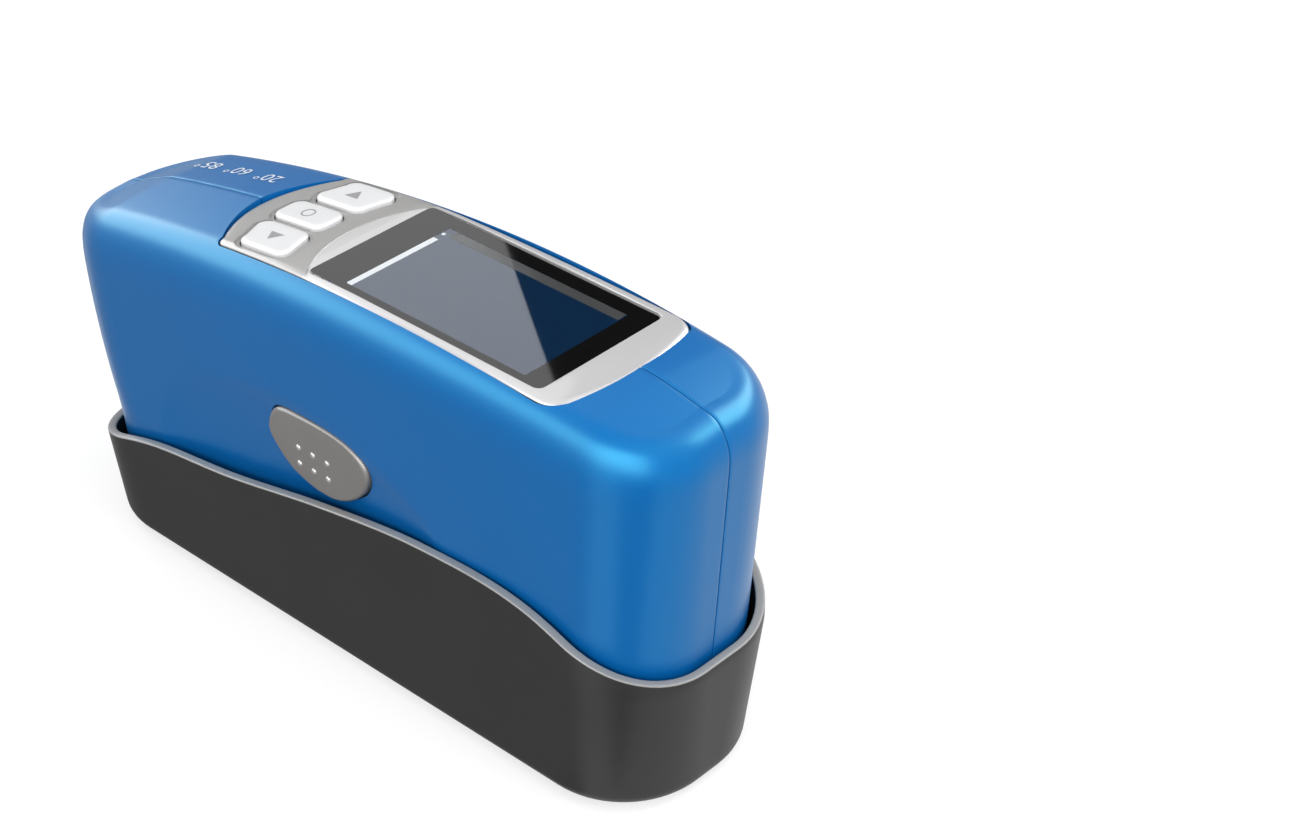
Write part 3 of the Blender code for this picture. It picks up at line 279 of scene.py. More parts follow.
@dataclass(frozen=True)
class WindowFinish:
    """Clear hard-coated window: light passes, and its face mirrors the room.

    Attributes:
        slot: the record's material slot.
        tint: colour of what passes through.
        smear: amount of faint smears in the coat's roughness.
        gloss_ior: refractive index of the antireflection coat.
    """

    slot: str
    tint: Colour = (0.97, 0.98, 0.99)
    smear: float = 0.004
    gloss_ior: float = 1.2

    def build(self, name: str) -> bpy.types.Material:
        """Make the material.

        Args:
            name: the material's name.

        Returns:
            The node material.
        """
        graph = NodeGraph(name)
        clear = graph.add("ShaderNodeBsdfTransparent")
        clear.inputs["Color"].default_value = (*self.tint, 1.0)
        gloss = graph.add("ShaderNodeBsdfAnisotropic")
        gloss.inputs["Color"].default_value = (1.0, 1.0, 1.0, 1.0)
        smears = graph.noise(90.0, 3.0, (1.0, 3.0, 1.0))
        graph.link(graph.ramp(smears, 0.5, 0.9, 0.02, 0.02 + self.smear), gloss.inputs["Roughness"])
        rim = graph.add("ShaderNodeFresnel")
        rim.inputs["IOR"].default_value = self.gloss_ior
        side = graph.add("ShaderNodeNewGeometry")
        outside = graph.add("ShaderNodeMath", operation="MULTIPLY")
        graph.link(rim.outputs["Fac"], outside.inputs[0])
        graph.link(graph.ramp(side.outputs["Backfacing"], 0.0, 1.0, 1.0, 0.0), outside.inputs[1])
        blend = graph.add("ShaderNodeMixShader")
        graph.link(outside.outputs[0], blend.inputs["Fac"])
        graph.link(clear.outputs["BSDF"], blend.inputs[1])
        graph.link(gloss.outputs["BSDF"], blend.inputs[2])
        graph.link(blend.outputs["Shader"], graph.output.inputs["Surface"])
        graph.tree.nodes.remove(graph.shader)
        return graph.material


@dataclass(frozen=True)
class DisplayFinish:
    """Unlit liquid crystal display: dark navy cells under a glossy polarising film.

    Attributes:
        slot: the record's material slot.
        colour: main colour of the cells, linear.
        shade: second colour of the slow patches, linear.
        patch: patch cells per metre.
        film_rough: roughness of the film.
        shine: strength of the film's reflection.
    """

    slot: str
    colour: Colour = (0.0025, 0.019, 0.052)
    shade: Colour = (0.0028, 0.020, 0.055)
    patch: float = 60.0
    film_rough: float = 0.015
    shine: float = 1.0

    def build(self, name: str) -> bpy.types.Material:
        """Make the material.

        Args:
            name: the material's name.

        Returns:
            The node material.
        """
        graph = NodeGraph(name)
        patches = graph.noise(self.patch, 1.0)
        graph.link(graph.mix(patches, self.colour, self.shade), graph.shader.inputs["Base Color"])
        graph.link(graph.ramp(graph.noise(40.0, 1.0), 0.3, 0.7, self.film_rough, self.film_rough * 1.1),
                   graph.shader.inputs["Roughness"])
        graph.shader.inputs["Specular IOR Level"].default_value = self.shine
        return graph.material


@dataclass(frozen=True)
class ClearFinish:
    """Inner faces of the window, which only let light through.

    Attributes:
        slot: the record's material slot.
        tint: colour of what passes through.
        haze: how much the tint varies.
    """

    slot: str
    tint: Colour = (0.97, 0.98, 0.99)
    haze: float = 0.01

    def build(self, name: str) -> bpy.types.Material:
        """Make the material.

        Args:
            name: the material's name.

        Returns:
            The node material.
        """
        graph = NodeGraph(name)
        clear = graph.add("ShaderNodeBsdfTransparent")
        faint = tuple(c - self.haze for c in self.tint)
        graph.link(graph.mix(graph.noise(60.0, 2.0), self.tint, faint), clear.inputs["Color"])
        graph.link(clear.outputs["BSDF"], graph.output.inputs["Surface"])
        graph.tree.nodes.remove(graph.shader)
        return graph.material


@dataclass(frozen=True)
class Palette:
    """All finishes of the object."""

    paint: Finish = Finish("blue_paint", (0.001, 0.110, 0.385), (0.001, 0.113, 0.393), rough=0.31,
                           rough_span=0.04,
                           shine=0.7, tint=(0.20, 0.92, 0.84), grain=9000.0, grain_mm=0.0015, patch=30.0)
    tub: Finish = Finish("charcoal_plastic", (0.0125, 0.0125, 0.0135), (0.0145, 0.0145, 0.0155), rough=0.40,
                         rough_span=0.08, shine=0.35, grain=5200.0, grain_mm=0.008, patch=50.0)
    # The rim's lip is the tub's charcoal plastic painted light grey: a painted highlight where the rounded
    # lip catches light.
    rim: Finish = Finish("charcoal_plastic", (0.27, 0.267, 0.265), (0.25, 0.247, 0.245), rough=0.38,
                         rough_span=0.05,
                         grain=5200.0, grain_mm=0.003, patch=90.0)
    silver: Finish = Finish("silver_paint", (0.54, 0.535, 0.54), (0.52, 0.515, 0.52), rough=0.36,
                            rough_span=0.06,
                            metal=0.3, coat=1.0, coat_rough=0.08, grain=12000.0, grain_mm=0.001, patch=40.0)
    # Darker silver of the key area behind the arc; the same colour on the faces sunk round the window is
    # painted shade in that recess.
    dish: Finish = Finish("silver_paint", (0.31, 0.306, 0.302), (0.29, 0.286, 0.282), rough=0.40,
                          rough_span=0.06,
                          metal=0.2, coat=0.6, coat_rough=0.15, grain=12000.0, grain_mm=0.002, patch=40.0)
    # Near-black paint on the plate's outer edge: painted shade standing in for the shaded gap round the
    # silver plate.
    skirt: Finish = Finish("silver_paint", (0.035, 0.035, 0.036), (0.030, 0.030, 0.031), rough=0.5,
                           rough_span=0.06)
    key: Finish = Finish("white_plastic", (0.74, 0.745, 0.755), (0.72, 0.725, 0.735), rough=0.35,
                         rough_span=0.06,
                         coat=0.3, coat_rough=0.15, grain=8000.0, grain_mm=0.002)
    sign: Finish = Finish("white_plastic", (0.26, 0.26, 0.28), (0.30, 0.30, 0.32), rough=0.5, rough_span=0.05)
    print_white: Finish = Finish("blue_paint", (0.72, 0.80, 0.88), (0.66, 0.74, 0.84), rough=0.45,
                                 rough_span=0.05)
    button: Finish = Finish("warm_grey", (0.20, 0.193, 0.186), (0.188, 0.181, 0.174), rough=0.34,
                            rough_span=0.08,
                            metal=0.15, coat=0.2, coat_rough=0.2, grain=9000.0, grain_mm=0.003)
    # The bumps are the button's own warm grey plastic; their lighter, glossier colour is a painted highlight
    # on the domes.
    bump: Finish = Finish("warm_grey", (0.40, 0.39, 0.38), (0.37, 0.36, 0.35), rough=0.25, rough_span=0.05,
                          metal=0.3, coat=0.5, coat_rough=0.1, grain=9000.0, grain_mm=0.001)
    mask: Finish = Finish("black_glass", (0.004, 0.004, 0.004), (0.005, 0.005, 0.005), rough=0.025,
                          rough_span=0.01,
                          grain=900.0, grain_mm=0.0, print_only=True)
    frame_grey: Finish = Finish("white_plastic", (0.07, 0.07, 0.069), (0.065, 0.065, 0.064), rough=0.06,
                                rough_span=0.02)
    bar_white: Finish = Finish("white_plastic", (0.80, 0.80, 0.80), (0.77, 0.77, 0.77), rough=0.1,
                               rough_span=0.04)
    black: Finish = Finish("black_plastic", (0.018, 0.018, 0.018), (0.024, 0.024, 0.024), rough=0.5,
                           rough_span=0.12, grain=4000.0, grain_mm=0.010)
    anodised: Finish = Finish("black_plastic", (0.012, 0.012, 0.013), (0.017, 0.017, 0.018), rough=0.42,
                              rough_span=0.1, metal=0.3, grain=7000.0, grain_mm=0.006,
                              stretch=(1.0, 0.1, 1.0))
    carrier: Finish = Finish("white_plastic", (0.55, 0.56, 0.57), (0.50, 0.51, 0.52), rough=0.5,
                             rough_span=0.08)
    tile: Finish = Finish("black_glass", (0.004, 0.004, 0.005), (0.005, 0.005, 0.006), rough=0.03,
                          rough_span=0.01,
                          coat=1.0, coat_rough=0.02, grain=300.0, grain_mm=0.0)
    rubber: Finish = Finish("rubber", (0.020, 0.020, 0.020), (0.028, 0.028, 0.028), rough=0.8,
                            rough_span=0.12,
                            grain=3000.0, grain_mm=0.020)
    steel: Finish = Finish("steel", (0.52, 0.52, 0.53), (0.45, 0.45, 0.46), rough=0.25, rough_span=0.12,
                           metal=1.0, grain=3000.0, grain_mm=0.003)
    board: Finish = Finish("circuit_board", (0.008, 0.10, 0.035), (0.010, 0.13, 0.045), rough=0.35,
                           rough_span=0.15, coat=0.4, coat_rough=0.15, grain=2500.0, grain_mm=0.006,
                           patch=400.0)
    wrap: Finish = Finish("battery_wrap", (0.03, 0.08, 0.25), (0.035, 0.09, 0.28), rough=0.3, rough_span=0.1,
                          coat=0.3, coat_rough=0.15, grain=900.0, grain_mm=0.010)
    lens: Finish = Finish("lens_glass", (0.62, 0.70, 0.72), (0.58, 0.67, 0.70), rough=0.04, rough_span=0.02,
                          coat=1.0, coat_rough=0.02, grain=300.0, grain_mm=0.0)
    lamp: Finish = Finish("lamp_resin", (0.75, 0.68, 0.45), (0.70, 0.62, 0.40), rough=0.15, rough_span=0.06,
                          coat=0.5, coat_rough=0.05, grain=900.0, grain_mm=0.002)
    can: Finish = Finish("receiver_can", (0.42, 0.42, 0.44), (0.38, 0.38, 0.40), rough=0.28, rough_span=0.1,
                         metal=0.9, grain=4000.0, grain_mm=0.003)
    window: WindowFinish = WindowFinish("window_glass")
    clear: ClearFinish = ClearFinish("window_glass")
    display: DisplayFinish = DisplayFinish("black_plastic")


class Paintbox:
    """Makes each finish once and hands it out by name."""

    def __init__(self, palette: Palette) -> None:
        """Keep a palette."""
        self.palette = palette
        self.made: dict[str, bpy.types.Material] = {}

    def get(self, name: str) -> bpy.types.Material:
        """Material of one finish.

        Args:
            name: the finish's field name in the palette.

        Returns:
            Its material, made on first use.
        """
        if name not in self.made:
            self.made[name] = getattr(self.palette, name).build(name)
        return self.made[name]

    def slot(self, name: str) -> str:
        """Record slot of one finish."""
        return getattr(self.palette, name).slot


class Shaper:
    """Turns points in millimetres into objects and combines them."""

    @staticmethod
    def solid(name: str, verts: Sequence[Point3], faces: Sequence[Sequence[int]],
              marks: Sequence[int] | None = None) -> bpy.types.Object:
        """Make an object from points and faces.

        Args:
            name: the object's name.
            verts: points in millimetres.
            faces: faces as point indices.
            marks: material index of each face, or None.

        Returns:
            The new object, facing outwards.
        """
        mesh = bpy.data.meshes.new(name)
        bm = bmesh.new()
        made = [bm.verts.new(Vector(v) * MM) for v in verts]
        for number, face in enumerate(faces):
            new = bm.faces.new([made[i] for i in face])
            new.smooth = True
            if marks is not None:
                new.material_index = marks[number]
        bmesh.ops.recalc_face_normals(bm, faces=bm.faces)
        bm.to_mesh(mesh)
        bm.free()
        obj = bpy.data.objects.new(name, mesh)
        bpy.context.scene.collection.objects.link(obj)
        return obj

    @staticmethod
    def bands(count: int, rings: int) -> list[tuple[int, ...]]:
        """Faces between neighbouring rings of points.

        Args:
            count: points in a ring.
            rings: how many rings there are.

        Returns:
            The faces, band by band.
        """
        faces: list[tuple[int, ...]] = []
        for low in range(0, (rings - 1) * count, count):
            for i in range(count):
                j = (i + 1) % count
                faces.append((low + i, low + j, low + count + j, low + count + i))
        return faces

    @classmethod
    def loft(cls, name: str, rings: Sequence[Sequence[Point3]],
             marks: Sequence[int] | None = None) -> bpy.types.Object:
        """Closed solid through rings of equal length.

        Args:
            name: the object's name.
            rings: rings of points, each closed.
            marks: material index of each band between rings, then of both caps, or None.

        Returns:
            The new object.
        """
        count = len(rings[0])
        faces = cls.bands(count, len(rings))
        indices = [marks[k // count] if marks else 0 for k in range(len(faces))] + [0, 0]
        top = (len(rings) - 1) * count
        faces.append(tuple(reversed(range(count))))
        faces.append(tuple(top + i for i in range(count)))
        return cls.solid(name, [p for ring in rings for p in ring], faces, indices)

    @classmethod
    def prism(cls, name: str, outline: Sequence[Point2], levels: Iterable[tuple[float, float]],
              grow: Callable[[float], Sequence[Point2]] | None = None) -> bpy.types.Object:
        """Upright solid with one outline, or with one outline for each growth.

        Args:
            name: the object's name.
            outline: points in plan.
            levels: pairs of growth and height.
            grow: gives the outline for a growth, or None for the plain outline.

        Returns:
            The new object.
        """
        rings = []
        for amount, z in levels:
            points = grow(amount) if grow else outline
            rings.append([(x, y, z) for x, y in points])
        return cls.loft(name, rings)

    @classmethod
    def box(cls, name: str, low: Point3, high: Point3) -> bpy.types.Object:
        """Box between two corners.

        Args:
            name: the object's name.
            low: lowest corner.
            high: highest corner.

        Returns:
            The new object.
        """
        outline = [(low[0], low[1]), (high[0], low[1]), (high[0], high[1]), (low[0], high[1])]
        obj = cls.prism(name, outline, [(0, low[2]), (0, high[2])])
        cls.sharpen(obj)
        return obj

    @classmethod
    def turned(cls, name: str, profile: Sequence[Point2], place: Matrix, count: int = 48) -> bpy.types.Object:
        """Turned solid about its own Z.

        Args:
            name: the object's name.
            profile: pairs of radius and height.
            place: where it goes, in millimetres.
            count: points around.

        Returns:
            The new object.
        """
        rings = [[(r * math.cos(2 * math.pi * i / count), r * math.sin(2 * math.pi * i / count), h)
                  for i in range(count)] for r, h in profile]
        obj = cls.loft(name, rings)
        move = place.copy()
        move.translation = move.translation * MM
        obj.data.transform(move)
        return obj

    @staticmethod
    def combine(target: bpy.types.Object, tool: bpy.types.Object, operation: Cut) -> None:
        """Apply one exact Boolean and remove the tool.

        Args:
            target: the object to change.
            tool: the other solid.
            operation: what to do with it.
        """
        mod = target.modifiers.new("combine", "BOOLEAN")
        mod.operation = operation.value
        mod.solver = "EXACT"
        mod.object = tool
        bpy.context.view_layer.update()
        graph = bpy.context.evaluated_depsgraph_get()
        result = bpy.data.meshes.new_from_object(target.evaluated_get(graph))
        bm = bmesh.new()
        bm.from_mesh(result)
        bmesh.ops.triangulate(bm, faces=bm.faces)
        bm.to_mesh(result)
        bm.free()
        target.modifiers.remove(mod)
        old, target.data = target.data, result
        bpy.data.meshes.remove(old)
        mesh = tool.data
        bpy.data.objects.remove(tool)
        bpy.data.meshes.remove(mesh)

    @staticmethod
    def sharpen(obj: bpy.types.Object, degrees: float = 35.0) -> None:
        """Shade smooth and keep edges sharper than an angle.

        Args:
            obj: the object to shade.
            degrees: the angle.
        """
        for face in obj.data.polygons:
            face.use_smooth = True
        obj.data.set_sharp_from_angle(angle=math.radians(degrees))

    @staticmethod
    def shade_like(obj: bpy.types.Object, source: BVHTree, normals: Sequence[Vector],
                   faces: Sequence[Sequence[int]], points: Sequence[Vector]) -> None:
        """Give faces that lie on a source skin that skin's smooth normals.

        Args:
            obj: the cut object.
            source: tree of the uncut skin's faces.
            normals: the skin's point normals.
            faces: the skin's faces.
            points: the skin's points.
        """
        mesh = obj.data
        Shaper.sharpen(obj)
        custom: list[Vector] = [Vector((0, 0, 0))] * len(mesh.loops)
        for poly in mesh.polygons:
            for loop_index in poly.loop_indices:
                co = mesh.vertices[mesh.loops[loop_index].vertex_index].co
                hit, flat, index, distance = source.find_nearest(co)
                if hit is None or distance > 0.02 * MM or flat.dot(poly.normal) < 0.8:
                    continue
                weights = [1.0 / max((points[v] - co).length, 1e-9) for v in faces[index]]
                total = Vector((0, 0, 0))
                for v, weight in zip(faces[index], weights):
                    total += normals[v] * weight
                custom[loop_index] = total.normalized()
        mesh.normals_split_custom_set(custom)


def spline(values: Sequence[float], t: float) -> float:
    """Smooth curve through evenly spaced values.

    Args:
        values: the values.
        t: place along them, 0 to 1.

    Returns:
        The value there.
    """
    last = len(values) - 1
    s = min(max(t, 0.0), 1.0) * last
    i = min(int(s), last - 1)
    f = s - i
    p1, p2 = values[i], values[i + 1]
    p0 = values[i - 1] if i > 0 else 2 * p1 - p2
    p3 = values[i + 2] if i < last - 1 else 2 * p2 - p1
    return p1 + 0.5 * f * (p2 - p0 + f * (2 * p0 - 5 * p1 + 4 * p2 - p3 + f * (3 * (p1 - p2) + p3 - p0)))


def closed_curve(points: Sequence[Point2], steps: int) -> list[Point2]:
    """Smooth closed curve through a few points.

    Args:
        points: the points.
        steps: how many parts each stretch is cut into.

    Returns:
        The curve's points.
    """
    count = len(points)
    out: list[Point2] = []
    for i in range(count):
        p0, p1, p2, p3 = (points[(i + k - 1) % count] for k in range(4))
        for s in range(steps):
            f = s / steps
            x, y = (p1[a] + 0.5 * f * (p2[a] - p0[a] + f * (2 * p0[a] - 5 * p1[a] + 4 * p2[a] - p3[a]
                                                           + f * (3 * (p1[a] - p2[a]) + p3[a] - p0[a])))
                    for a in (0, 1))
            out.append((x, y))
    return out


def rounded_plan(front: float, rear: float, half: float, corners: Point2,
                 counts: tuple[int, int, int]) -> list[Point2]:
    """Half outline of a rounded rectangle from front centre to rear centre.

    Args:
        front: X of the front end.
        rear: X of the rear end.
        half: half width.
        corners: front and rear corner radii.
        counts: points on an end, on an arc and on the side.

    Returns:
        Points on the +Y side.
    """
    end, arc, side = counts
    first, last = (min(c, half - 0.2) for c in corners)
    pts = [(front, (half - first) * i / end) for i in range(end)]
    for i in range(arc):
        a = math.pi / 2 * i / arc
        pts.append((front - first * (1 - math.cos(a)), half - first * (1 - math.sin(a))))
    x0, x1 = front - first, rear + last
    pts += [(x0 + (x1 - x0) * i / side, half) for i in range(side)]
    for i in range(arc):
        a = math.pi / 2 * i / arc
        pts.append((rear + last * (1 - math.sin(a)), half - last * (1 - math.cos(a))))
    pts += [(rear, (half - last) * (1 - i / end)) for i in range(end + 1)]
    return pts


def mirror_outline(half: Sequence[Point2]) -> list[Point2]:
    """Whole outline from its +Y half."""
    return list(half) + [(x, -y) for x, y in reversed(half[1:-1])]


@dataclass
class HousingForm:
    """The housing's outer form: a tapered plan under a crowned top line."""

    length: float = 160.0
    crest_z: float = 83.6
    crest_x: float = 30.0
    rear_drop: float = 15.4
    drop_span: float = 107.0
    crown: float = 1.6
    ridge: float = 0.6
    top_half: float = 21.3
    rim_half: float = 19.8
    sole_half: float = 19.1
    top_level: float = 76.0
    rim_level: float = 29.0
    front_draft: float = 3.6
    rear_tuck: float = 5.8
    tuck_power: float = 2.4
    sole_tuck: float = 3.0
    barrel_top: float = 0.12
    barrel_low: float = 0.04
    barrel_x: float = 13.0
    corners: Point2 = (15.9, 16.9)
    fillet: float = 6.6
    fillet_drop: float = 10.5
    side_drop: float = 13.5
    fillet_power: float = 2.5
    wall: float = 2.0
    sole: float = 5.0
    seam: float = 0.18
    scoop_x: float = -7.0
    scoop_z: float = 27.5
    scoop_length: float = 42.0
    scoop_height: float = 27.0
    scoop_depth: float = 1.9
    scoop_fade: float = 10.0

    def crest(self, x: float) -> float:
        """Height of the top on the centre plane."""
        return self.crest_z - self.rear_drop * ((x - self.crest_x) / self.drop_span) ** 2

    def dip(self, y: float) -> float:
        """How far the top lies below the crest away from the centre plane."""
        share = y / self.top_half
        return self.crown * (self.ridge * share + (1 - self.ridge) * share ** 2)

    def slope(self, x: float, y: float) -> Point2:
        """Slope of the top along and across the housing."""
        across = self.crown / self.top_half * (self.ridge + 2 * (1 - self.ridge) * y / self.top_half)
        return -2 * self.rear_drop * (x - self.crest_x) / self.drop_span ** 2, -across

    def ratio(self, z: float) -> float:
        """0 at the widest level and 1 at the base's rim."""
        return (self.top_level - z) / (self.top_level - self.rim_level)

    def plan(self, z: float, inset: float, counts: tuple[int, int, int]) -> list[Point2]:
        """Half outline of the housing at a height.

        Args:
            z: height.
            inset: how far inside the skin.
            counts: points on an end, an arc and the side.

        Returns:
            Points on the +Y side, narrowed towards the ends.
        """
        t = self.ratio(z)
        low = max(t - 1.0, 0.0)
        part = min(max(t, 0.0), 1.0)
        front = self.length / 2 - self.front_draft * max(t, 0.0) - inset
        tuck = self.rear_tuck * part ** self.tuck_power + self.sole_tuck * low / (low + 0.5) * 1.5
        rear = -self.length / 2 + tuck + inset
        half = self.top_half + (self.rim_half - self.top_half) * min(t, 1.0)
        half += (self.sole_half - self.rim_half) * low * 2 - inset
        corners = (max(self.corners[0] - inset, 0.4), max(self.corners[1] - inset, 0.4))
        amount = self.barrel_top + (self.barrel_low - self.barrel_top) * part
        return [(x, y * (1 - amount * ((x - self.barrel_x) / (self.length / 2)) ** 2))
                for x, y in rounded_plan(front, rear, half, corners, counts)]

    def scoop(self, x: float, z: float) -> float:
        """Depth of the hollow round the measure button.

        Args:
            x: place along the side.
            z: height.

        Returns:
            The depth.
        """
        r = ((x - self.scoop_x) / self.scoop_length) ** 2 + ((z - self.scoop_z) / self.scoop_height) ** 2
        fade = min(max((z - self.scoop_fade) / self.scoop_fade, 0.0), 1.0)
        return self.scoop_depth * fade * (1 - r) ** 0.8 if r < 1 else 0.0

    def rows(self, inset: float, sole: float, counts: tuple[int, int, int], levels: int,
             turns: int) -> list[list[Point3]]:
        """Rows of half-outline points from the sole to the inner edge of the top fillet.

        Args:
            inset: how far inside the skin.
            sole: height of the first row.
            counts: points on an end, an arc and the side.
            levels: rows on the wall.
            turns: rows on the fillet.

        Returns:
            The rows.
        """
        fillet = max(self.fillet - inset, 1.0)
        guide = self.plan(self.top_level, inset, counts)
        inner = self.plan(self.top_level, inset + fillet, counts)
        tops = [self.crest(x) - inset - self.dip(max(y, 0.0)) for (x, _), (_, y) in zip(guide, inner)]
        slopes = [self.slope(x, y) for x, y in inner]
        widest = max(y for _, y in guide)
        drops = [self.fillet_drop + (self.side_drop - self.fillet_drop) * (y / widest) ** 3 - inset
                 for _, y in guide]
        rows = []
        for level in range(levels):
            row = []
            for i, (top, drop) in enumerate(zip(tops, drops)):
                z = sole + level / (levels - 1) * (top - drop - sole)
                x, y = self.plan(z, inset, counts)[i]
                row.append((x, y, z))
            rows.append(row)
        for turn in range(1, turns + 1):
            a = math.pi / 2 * turn / turns
            inward = 1 - max(math.cos(a), 0.0) ** (2 / self.fillet_power)
            down = 1 - math.sin(a) ** (2 / self.fillet_power)
            row = []
            for i, (top, drop, (along, across)) in enumerate(zip(tops, drops, slopes)):
                z = top - drop * down
                x, y = self.plan(min(z, top - fillet), inset + fillet * inward, counts)[i]
                lean = along * (x - inner[i][0]) + across * (y - inner[i][1])
                row.append((x, y, z + lean * inward ** 2))
            rows.append(row)
        return rows


class HousingHalf:
    """One moulded half of the blue housing."""

    COUNTS = (6, 16, 84)
    LEVELS = 44
    TURNS = 18
    COLUMNS = 12
    LIP = 0.14

    def __init__(self, side: Side, form: HousingForm, openings: Callable[[], list[bpy.types.Object]]) -> None:
        """Keep what the half is made from.

        Args:
            side: which half.
            form: the housing's form.
            openings: makes the solids to cut out.
        """
        self.side = side
        self.form = form
        self.openings = openings

    def _skin(self) -> tuple[list[Point3], list[list[int]]]:
        """Closed solid of the half with rounded seam edges.

        Returns:
            Its points and faces.
        """
        form, sign = self.form, self.side.value
        rows = form.rows(0.0, form.sole, self.COUNTS, self.LEVELS, self.TURNS)
        near = form.seam / 2 + self.LIP
        last = len(rows[0]) - 1
        verts: list[Point3] = []
        faces: list[list[int]] = []

        def add(x: float, y: float, z: float) -> int:
            """Add a point, pressed in where the scoop is, and give its index."""
            y = max(y, near)
            dent = form.scoop(x, z) * min(max((y - 12.0) / 2.0, 0.0), 1.0) if sign < 0 else 0.0
            verts.append((x, sign * (y - dent), z))
            return len(verts) - 1

        grid = [[add(*p) for p in row] for row in rows]
        for r in range(len(rows) - 1):
            for i in range(last):
                faces.append([grid[r][i], grid[r][i + 1], grid[r + 1][i + 1], grid[r + 1][i]])
        top = grid[-1]
        columns = [top[1:last]]
        for c in range(1, self.COLUMNS + 1):
            column = []
            for i in range(1, last):
                x, y, z = rows[-1][i]
                v = y * (1 - c / self.COLUMNS)
                column.append(add(x, v, z + form.dip(y) - form.dip(v)))
            columns.append(column)
        for c in range(self.COLUMNS):
            for i in range(len(columns[0]) - 1):
                faces.append([columns[c][i], columns[c][i + 1], columns[c + 1][i + 1], columns[c + 1][i]])
            faces.append([top[0], columns[c][0], columns[c + 1][0]])
            faces.append([top[last], columns[c][-1], columns[c + 1][-1]])
        edge = [row[0] for row in grid] + columns[-1] + [row[last] for row in reversed(grid)]
        outs = self._outward([Vector(verts[index]) for index in edge])
        previous = edge
        for inward, y in ((0.03, near - self.LIP * 0.6), (0.1, near - self.LIP * 0.9),
                          (self.LIP, near - self.LIP)):
            ring = []
            for out, index in zip(outs, edge):
                x, _, z = verts[index]
                deep = form.sole if z == form.sole else z - out.z * inward
                verts.append((x - out.x * inward, sign * y, deep))
                ring.append(len(verts) - 1)
            for k in range(len(edge) - 1):
                faces.append([previous[k], previous[k + 1], ring[k + 1], ring[k]])
            faces.append([previous[0], ring[0], grid[0][0]] if previous is not edge else [])
            faces.append([previous[-1], ring[-1], grid[0][last]] if previous is not edge else [])
            previous = ring
        faces = [f for f in faces if f]
        faces.append(list(previous))
        faces.append(grid[0][:] + [previous[-1], previous[0]])
        return verts, faces

    @staticmethod
    def _outward(path: Sequence[Vector], reach: float = 0.5) -> list[Vector]:
        """Outward directions in the centre plane along the seam's edge.

        Args:
            path: the edge's points from the sole over the top to the sole.
            reach: how far apart the points are that give each direction.

        Returns:
            One direction for each point.
        """
        outs = []
        for k, here in enumerate(path):
            before = next((p for p in reversed(path[:k]) if (p - here).length > reach), path[0])
            after = next((p for p in path[k + 1:] if (p - here).length > reach), path[-1])
            along = (after - before).normalized()
            outs.append(Vector((along.z, 0.0, -along.x)))
        return outs

    def build(self, paint: bpy.types.Material) -> bpy.types.Object:
        """Make the half as a thin shell with its openings.

        Args:
            paint: the paint.

        Returns:
            The object.
        """
        name = "housing_left_skin" if self.side is Side.LEFT else "housing_right_skin"
        verts, faces = self._skin()
        half = Shaper.solid(name, verts, faces)
        mesh = half.data
        points = [v.co.copy() for v in mesh.vertices]
        normals = [v.vector.copy() for v in mesh.vertex_normals]
        polygons = [tuple(p.vertices) for p in mesh.polygons]
        tree = BVHTree.FromPolygons(points, polygons)
        core_rows = self.form.rows(self.form.wall, self.form.sole - 3.0, (1, 8, 16), 10, 3)
        rings = [mirror_rows([(x, max(y - self.form.scoop(x, z), 0.0), z) for x, y, z in row])
                 if self.side is Side.RIGHT else mirror_rows(row) for row in core_rows]
        Shaper.combine(half, Shaper.loft("core", rings), Cut.TAKE)
        for tool in self.openings():
            Shaper.combine(half, tool, Cut.TAKE)
        Shaper.shade_like(half, tree, normals, polygons, points)
        half.data.materials.clear()
        half.data.materials.append(paint)
        return half


def mirror_rows(row: Sequence[Point3]) -> list[Point3]:
    """Whole ring from its +Y half."""
    return list(row) + [(x, -y, z) for x, y, z in reversed(row[1:-1])]


